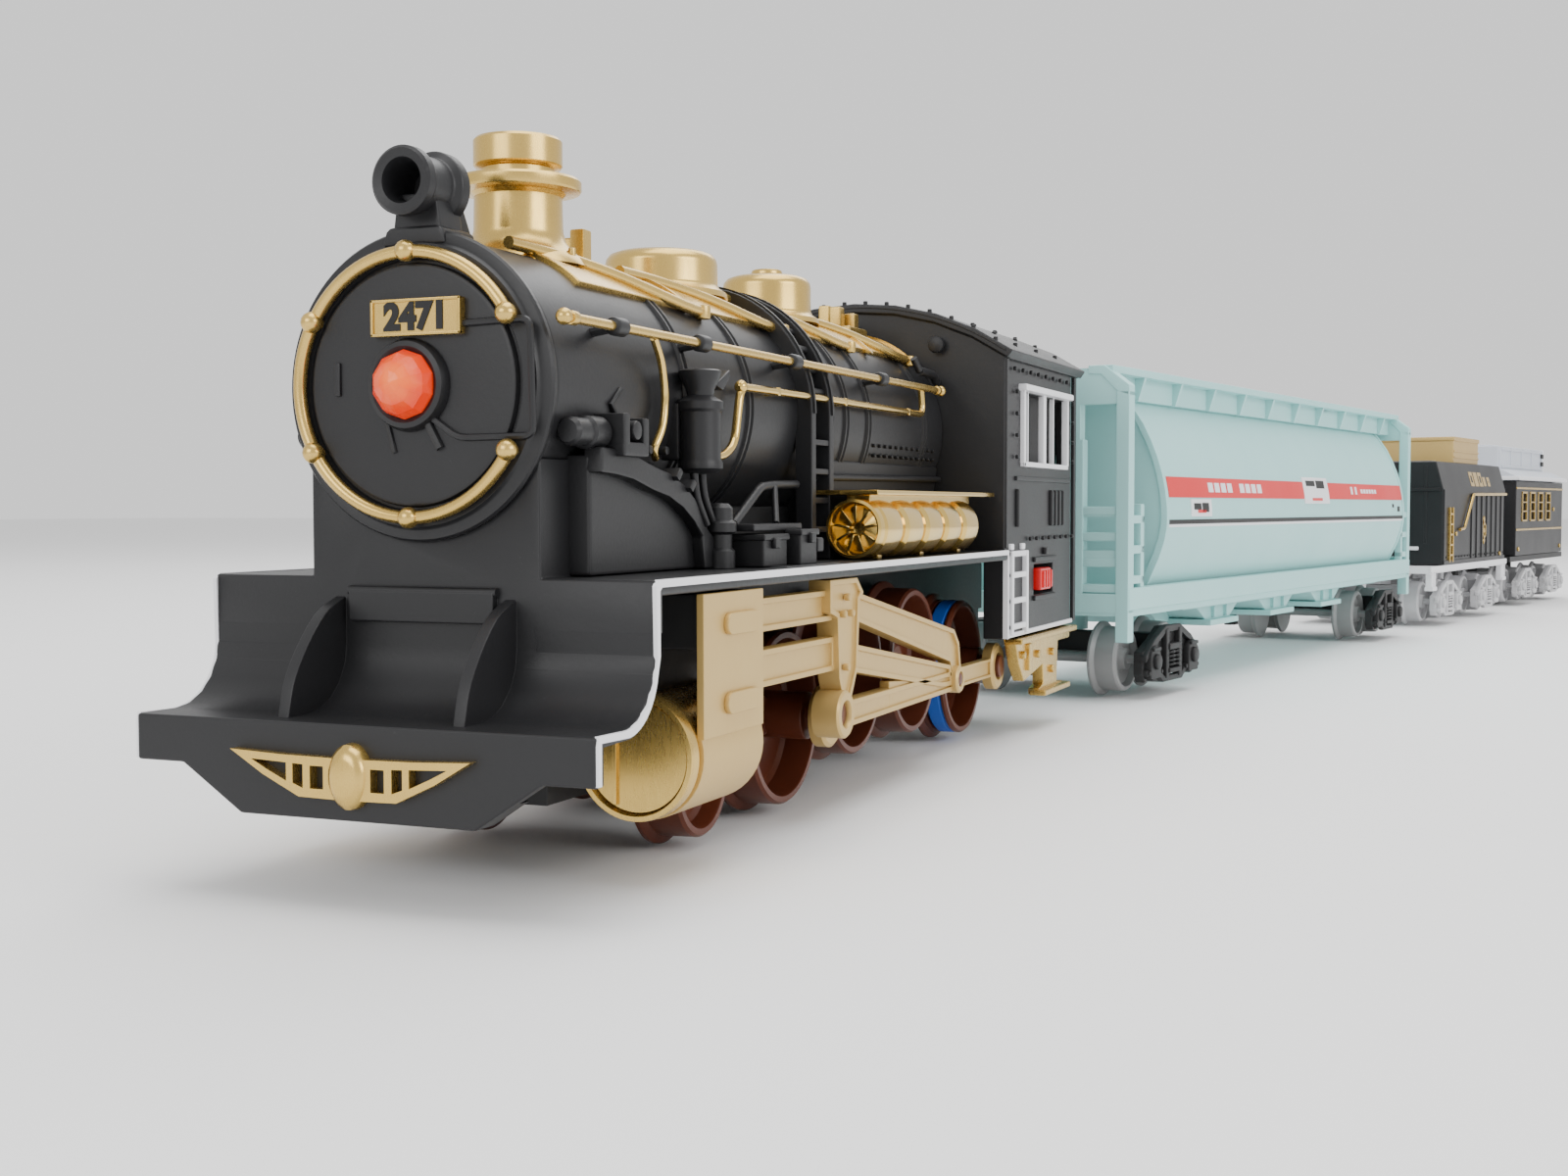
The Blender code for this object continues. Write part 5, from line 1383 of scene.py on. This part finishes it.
def hopper_print():
    """Red band, black line and plain label shapes on both sides."""
    for side, name in SIDES:
        groups = {
            "stripe": [skin_patch(5.2, 236.0, 46.6, 51.6)],
            "ink": [skin_patch(3.6, 236.2, 40.1, 41.2), skin_patch(222.0, 224.0, 44.0, 45.2),
                    skin_patch(229.0, 232.0, 42.6, 44.4)],
            "white": [skin_patch(3.6, 236.2, 39.4, 40.1, 0.08)],
        }
        for x, low, high, width in ((118.0, 45.2, 53.0, 26.0), (20.0, 41.9, 46.2, 15.0)):
            groups["white"].append(skin_patch(x, x + width, low, high, 0.24))
            groups["ink"].append(skin_patch(x + width * 0.12, x + width * 0.46, high - 2.6, high - 1.0,
                                            0.34))
            groups["ink"].append(skin_patch(x + width * 0.52, x + width * 0.84, high - 3.2, high - 0.9,
                                            0.34))
            groups["stripe"].append(skin_patch(x + width * 0.3, x + width * 0.7, low + 0.9, low + 1.7,
                                               0.34))
        for i in range(9):
            if i != 4:
                groups["white"].append(skin_patch(34.0 + i * 5.0, 37.6 + i * 5.0, 48.0, 50.4, 0.24))
        for i in range(2):
            x = 170.0 + i * 5.0
            groups["white"].append(skin_patch(x, x + 2.2, 48.2, 50.6, 0.24))
        for i in range(6):
            groups["white"].append(skin_patch(182.0 + i * 3.4, 184.4 + i * 3.4, 48.6, 49.9, 0.24))
        for finish, patches in groups.items():
            piece = on_side(joined(patches), side)
            settle(piece, f"hopper_print_{finish}_{name}", "hopper_wagon", finish, HOPPER)


# ---------------------------------------------------------------- tender

def tender_side_details():
    """Ribs, rail and rivets of the tender's left side."""
    y = -26.0
    parts = [slab((4.4, 6.4), (y - 0.5, y + 0.4), (22.2, 51.0), 0.2)]
    parts += [slab((x, x + 1.4), (y - 0.45, y + 0.4), (22.2, 49.0), 0.2) for x in range(50, 108, 9)]
    parts.append(slab((4.4, 110.8), (y - 0.6, y + 0.4), (21.8, 23.4), 0.2))
    stud = disc(0.36, y - 0.7, y - 0.2, (0, 0, 0), "Y", 8, 0.12)
    parts.append(repeated(stud, [(x, 0, 24.6) for x in range(8, 110, 5)]))
    return joined(parts)


def tender_gold():
    """Gold ladder, bent rail and emblem ring of the left side."""
    y = -26.0
    parts = [slab((x, x + 0.9), (y - 0.9, y + 0.2), (22.6, 44.0), 0.2) for x in (12.6, 17.4)]
    parts += [slab((12.6, 18.3), (y - 0.8, y + 0.2), (z, z + 0.8), 0.2) for z in range(25, 44, 4)]
    rail = [(27.6, y - 0.9, 35.2), (35.0, y - 0.9, 35.6), (50.0, y - 0.9, 49.2), (110.0, y - 0.9, 49.6)]
    parts.append(tube(rail, 0.62, 1.5))
    ring = turned([(2.4, y - 0.5), (3.2, y - 0.5), (3.2, y + 0.2), (2.4, y + 0.2)], (72.6, 0, 34.4), "Y",
                  32, True)
    parts += [ring, disc(1.1, y - 0.5, y + 0.2, (72.6, 0, 34.4), "Y", 20, 0.2)]
    for z in (30.2, 38.8):
        parts.append(outlined([(71.2, z), (72.6, z - 1.6), (74.0, z), (72.6, z + 1.6)], y - 0.4, y + 0.2,
                              "Y", 0.1))
    for z, size in ((24.0, 1.0), (33.6, 0.9)):
        parts.append(disc(size, y - 0.6, y + 0.2, (24.6 if z > 30 else 103.0, 0, z), "Y", 16, 0.2))
    return joined(parts)


def tender_labels():
    """Row of plain gold bars on the sloped upper side."""
    parts = []
    for i, (width, low) in enumerate(((6.0, 52.6), (6.0, 52.6), (6.0, 52.6), (4.4, 52.8), (4.4, 52.8))):
        x = 52.0 + i * 7.6
        high = 58.4 if i < 3 else 56.6
        lean = [(-26.0 - 0.1 + (z - 51.0) * 3.0 / 11.0, z) for z in (low, high)]
        back = [(y + 0.5, z) for y, z in reversed(lean)]
        bar = outlined(lean + back, x, x + width, "X", 0)
        if i % 2 == 0:
            bar = cut(bar, slab((x + 1.6, x + width - 1.6), (-30, -20), (low + 1.5, high - 1.5), 0))
        parts.append(bar)
    return joined(parts)


def tender():
    """Shouldered tank with a sloped upper half, lipped load box and white underframe."""
    section = [(26.0, 21.7), (26.0, 51.0), (23.1, 61.8)]
    outline = section + [(-y, z) for y, z in reversed(section)]
    tank = outlined(outline, 4.2, 117.0, "X", 0)
    notch = outlined([(111.0, 20.0), (120.0, 20.0), (120.0, 63.0), (114.0, 63.0), (114.0, 51.0),
                      (111.0, 49.0)],
                     -40, 40, "Y", 0)
    tank = softened(cut(tank, notch), 0.5)
    settle(tank, "tender_tank", "tender", "black", TENDER, ("tender_body",))
    coal = [slab((6.0, 112.0), (-21.0, 21.0), (61.0, 62.1), 0.4)]
    coal += [slab((4.0, 4.9), (y, y + 1.2), (30.0, 60.0), 0.2) for y in (-20.0, 19.0)]
    coal.append(slab((3.6, 4.8), (-25.0, 25.0), (50.2, 51.6), 0.3))
    settle(joined(coal), "tender_top_and_end", "tender", "black", TENDER)
    box = slab((43.0, 86.0), (-20.4, 20.4), (62.0, 72.4), 0.35)
    lid = slab((42.6, 86.4), (-20.8, 20.8), (70.9, 72.6), 0.3)
    steps = [slab((43.2, 85.8), span(side, 20.3, 20.8), (z, z + 0.7), 0.15)
             for side in (-1, 1) for z in (64.0, 66.4)]
    settle(joined([box, lid, *steps]), "tender_load_box", "tender", "tan", TENDER, ("tender_load",))
    lamp = joined([slab((3.2, 4.6), (y, y + 5.6), (27.4, 28.8), 0.3) for y in (-17.0, 11.0)])
    settle(lamp, "tender_end_plates", "tender", "white", TENDER)
    from_cad("tender_frame", "white", 0.25)
    trim = [slab((-16.4, 113.4), span(side, 26.2, 27.0), (19.4, 21.7), 0.2) for side in (-1, 1)]
    for side in (-1, 1):
        for x in (-14.6, 105.4):
            trim.append(slab((x, x + 6.4), span(side, 24.0, 27.2), (12.4, 14.0), 0.3))
            trim += [slab((x + near, x + near + 1.4), span(side, 25.4, 26.8), (13.0, 20.0), 0.3)
                     for near in (0.4, 4.6)]
    settle(joined(trim), "tender_sill_and_steps", "tender", "white", TENDER)
    for make, name, finish in ((tender_side_details, "tender_side_ribs", "black"),
                               (tender_gold, "tender_gold_fittings", "gold"),
                               (tender_labels, "tender_bars", "gold")):
        both_sides(make, name, "tender", finish, place=TENDER)


# ---------------------------------------------------------------- coach

def coach_gold():
    """Gold waist and cornice lines, window frames and lamps of the left side."""
    y = -26.0
    parts = [slab((-9.6, 91.6), (y - 0.35, y + 0.3), (z, z + 0.9), 0.15) for z in (33.2, 52.3)]
    for i in range(4):
        x = 1.4 + i * 17.0
        for left, right, low, high in ((x, x + 1.0, 37.4, 51.0), (x + 9.6, x + 10.6, 37.4, 51.0),
                                       (x, x + 10.6, 37.4, 38.2), (x, x + 10.6, 50.3, 51.2),
                                       (x, x + 10.6, 41.8, 42.4), (x, x + 10.6, 46.0, 46.6)):
            parts.append(slab((left, right), (y - 0.4, y + 0.5), (low, high), 0.1))
    parts += [disc(1.0, y - 0.6, y + 0.2, (x, 0, z), "Y", 20, 0.25) for x,
              z in ((-5.0, 24.7), (70.4, 43.0), (86.0, 24.7))]
    return joined(parts)


def coach_panes():
    """Dark panes behind the window frames of the left side."""
    return joined([slab((1.6 + i * 17.0, 11.8 + i * 17.0), (-25.2, -24.4), (37.6, 51.0),
                        0.1) for i in range(4)])


def coach():
    """Bodied coach with gold lines, rolled roof edge and a vented roof unit."""
    from_cad("coach_body", "black", 0.35)
    from_cad("coach_frame", "underframe", 0.25)
    from_cad("coach_roof", "pale", 0.4)
    eave = [slab((-11.8, 93.8), span(side, 26.4, 27.9), (56.4, 58.2), 0.4) for side in (-1, 1)]
    eave += [slab((-12.0, -10.8), (-27.8, 27.8), (56.4, 58.2), 0.4),
             slab((92.8, 94.0), (-27.8, 27.8), (56.4, 58.2), 0.4)]
    settle(joined(eave), "coach_eaves", "coach", "white", COACH)
    unit = []
    for side in (-1, 1):
        wall = span(side, 16.8, 17.5)
        unit.append(slab((0.0, 84.0), wall, (62.4, 63.6), 0.2))
        unit.append(slab((0.0, 84.0), wall, (70.4, 71.6), 0.2))
        unit += [slab((x, x + 1.2), wall, (62.4, 71.6), 0.2) for x in (-4.8, 18.0, 40.0, 62.0, 84.0)]
    unit += [slab((x, x + 14.0), (-12.0, 12.0), (72.3, 73.2), 0.35) for x in (2.0, 24.0, 46.0, 68.0)]
    settle(joined(unit), "coach_roof_unit_ribs", "coach", "pale", COACH)
    ends = [slab((88.6, 90.4), (-17.2, 17.2), (61.4, 72.6), 0.4)]
    settle(joined(ends), "coach_roof_unit_end", "coach", "white", COACH)
    vents = [slab((83.2, 87.4), span(side, 17.2, 17.8), (z, z + 2.2), 0.2)
             for side in (-1, 1) for z in (64.4, 68.2)]
    settle(joined(vents), "coach_vents", "coach", "ink", COACH)
    for make, name, finish in ((coach_gold, "coach_gold_lines", "gold"),
                               (coach_panes, "coach_panes", "ink")):
        both_sides(make, name, "coach", finish, place=COACH)


def wagons():
    for build in (hopper_body, hopper_walk, hopper_ends, hopper_print, tender, coach):
        build()
    for vehicle, place, look, wheels in (("hopper", HOPPER, "underframe", "grey"),
                                         ("tender", TENDER, "silver", "silver"),
                                         ("coach", COACH, "silver", "silver")):
        bogies(vehicle, place, look)
        carrier_wheels(vehicle, wheels)
        from_cad(f"{vehicle}_drawbar", "underframe", 0.3)


# ---------------------------------------------------------------- studio

def plain(name, colour, rough):
    made = Finish(name)
    made.feed(Base_Color=(*colour, 1), Roughness=rough)
    return made.material


def studio():
    """Pale floor, soft light from above and both sides, and the camera low ahead of the engine."""
    fresh()
    bpy.ops.mesh.primitive_plane_add(size=12.0, location=(0.6, 0.4, -0.0004))
    floor = bpy.context.object
    floor.name = "floor"
    floor.data.materials.append(plain("pale_floor", (0.86, 0.86, 0.86), 0.7))
    world = bpy.data.worlds.new("studio")
    bpy.context.scene.world = world
    world.use_nodes = True
    sky = world.node_tree.nodes["Background"]
    sky.inputs["Color"].default_value = (1.0, 1.0, 1.0, 1)
    sky.inputs["Strength"].default_value = 1.05
    lamps = (
        ("overhead", (-0.25, -0.15, 1.1), (0, 0, 0), 1.1, 0.9, 11.0),
        ("left_fill", (-0.5, -1.3, 0.55), (70, 0, -8), 0.9, 0.5, 9.0),
        ("front_fill", (-1.5, 0.3, 0.5), (72, 0, -102), 0.8, 0.5, 5.0),
        ("far_top", (0.7, 0.2, 0.9), (10, 25, 0), 1.0, 0.6, 6.0),
    )
    for name, spot, turn, width, height, power in lamps:
        bpy.ops.object.light_add(type="AREA", location=spot, rotation=[math.radians(a) for a in turn])
        lamp = bpy.context.object
        lamp.name = name
        lamp.data.shape = "RECTANGLE"
        lamp.data.size = width
        lamp.data.size_y = height
        lamp.data.energy = power
    spot = ENGINE @ (Vector(CAMERA_SPOT) * MM)
    bpy.ops.object.camera_add(location=spot, rotation=[math.radians(a) for a in CAMERA_TURN])
    camera = bpy.context.object
    camera.data.sensor_width = 36.0
    camera.data.lens = CAMERA_LENS
    camera.data.clip_start = 0.01
    bpy.context.scene.camera = camera


def main():
    locomotive()
    wagons()
    studio()
    bpy.context.view_layer.update()


main()
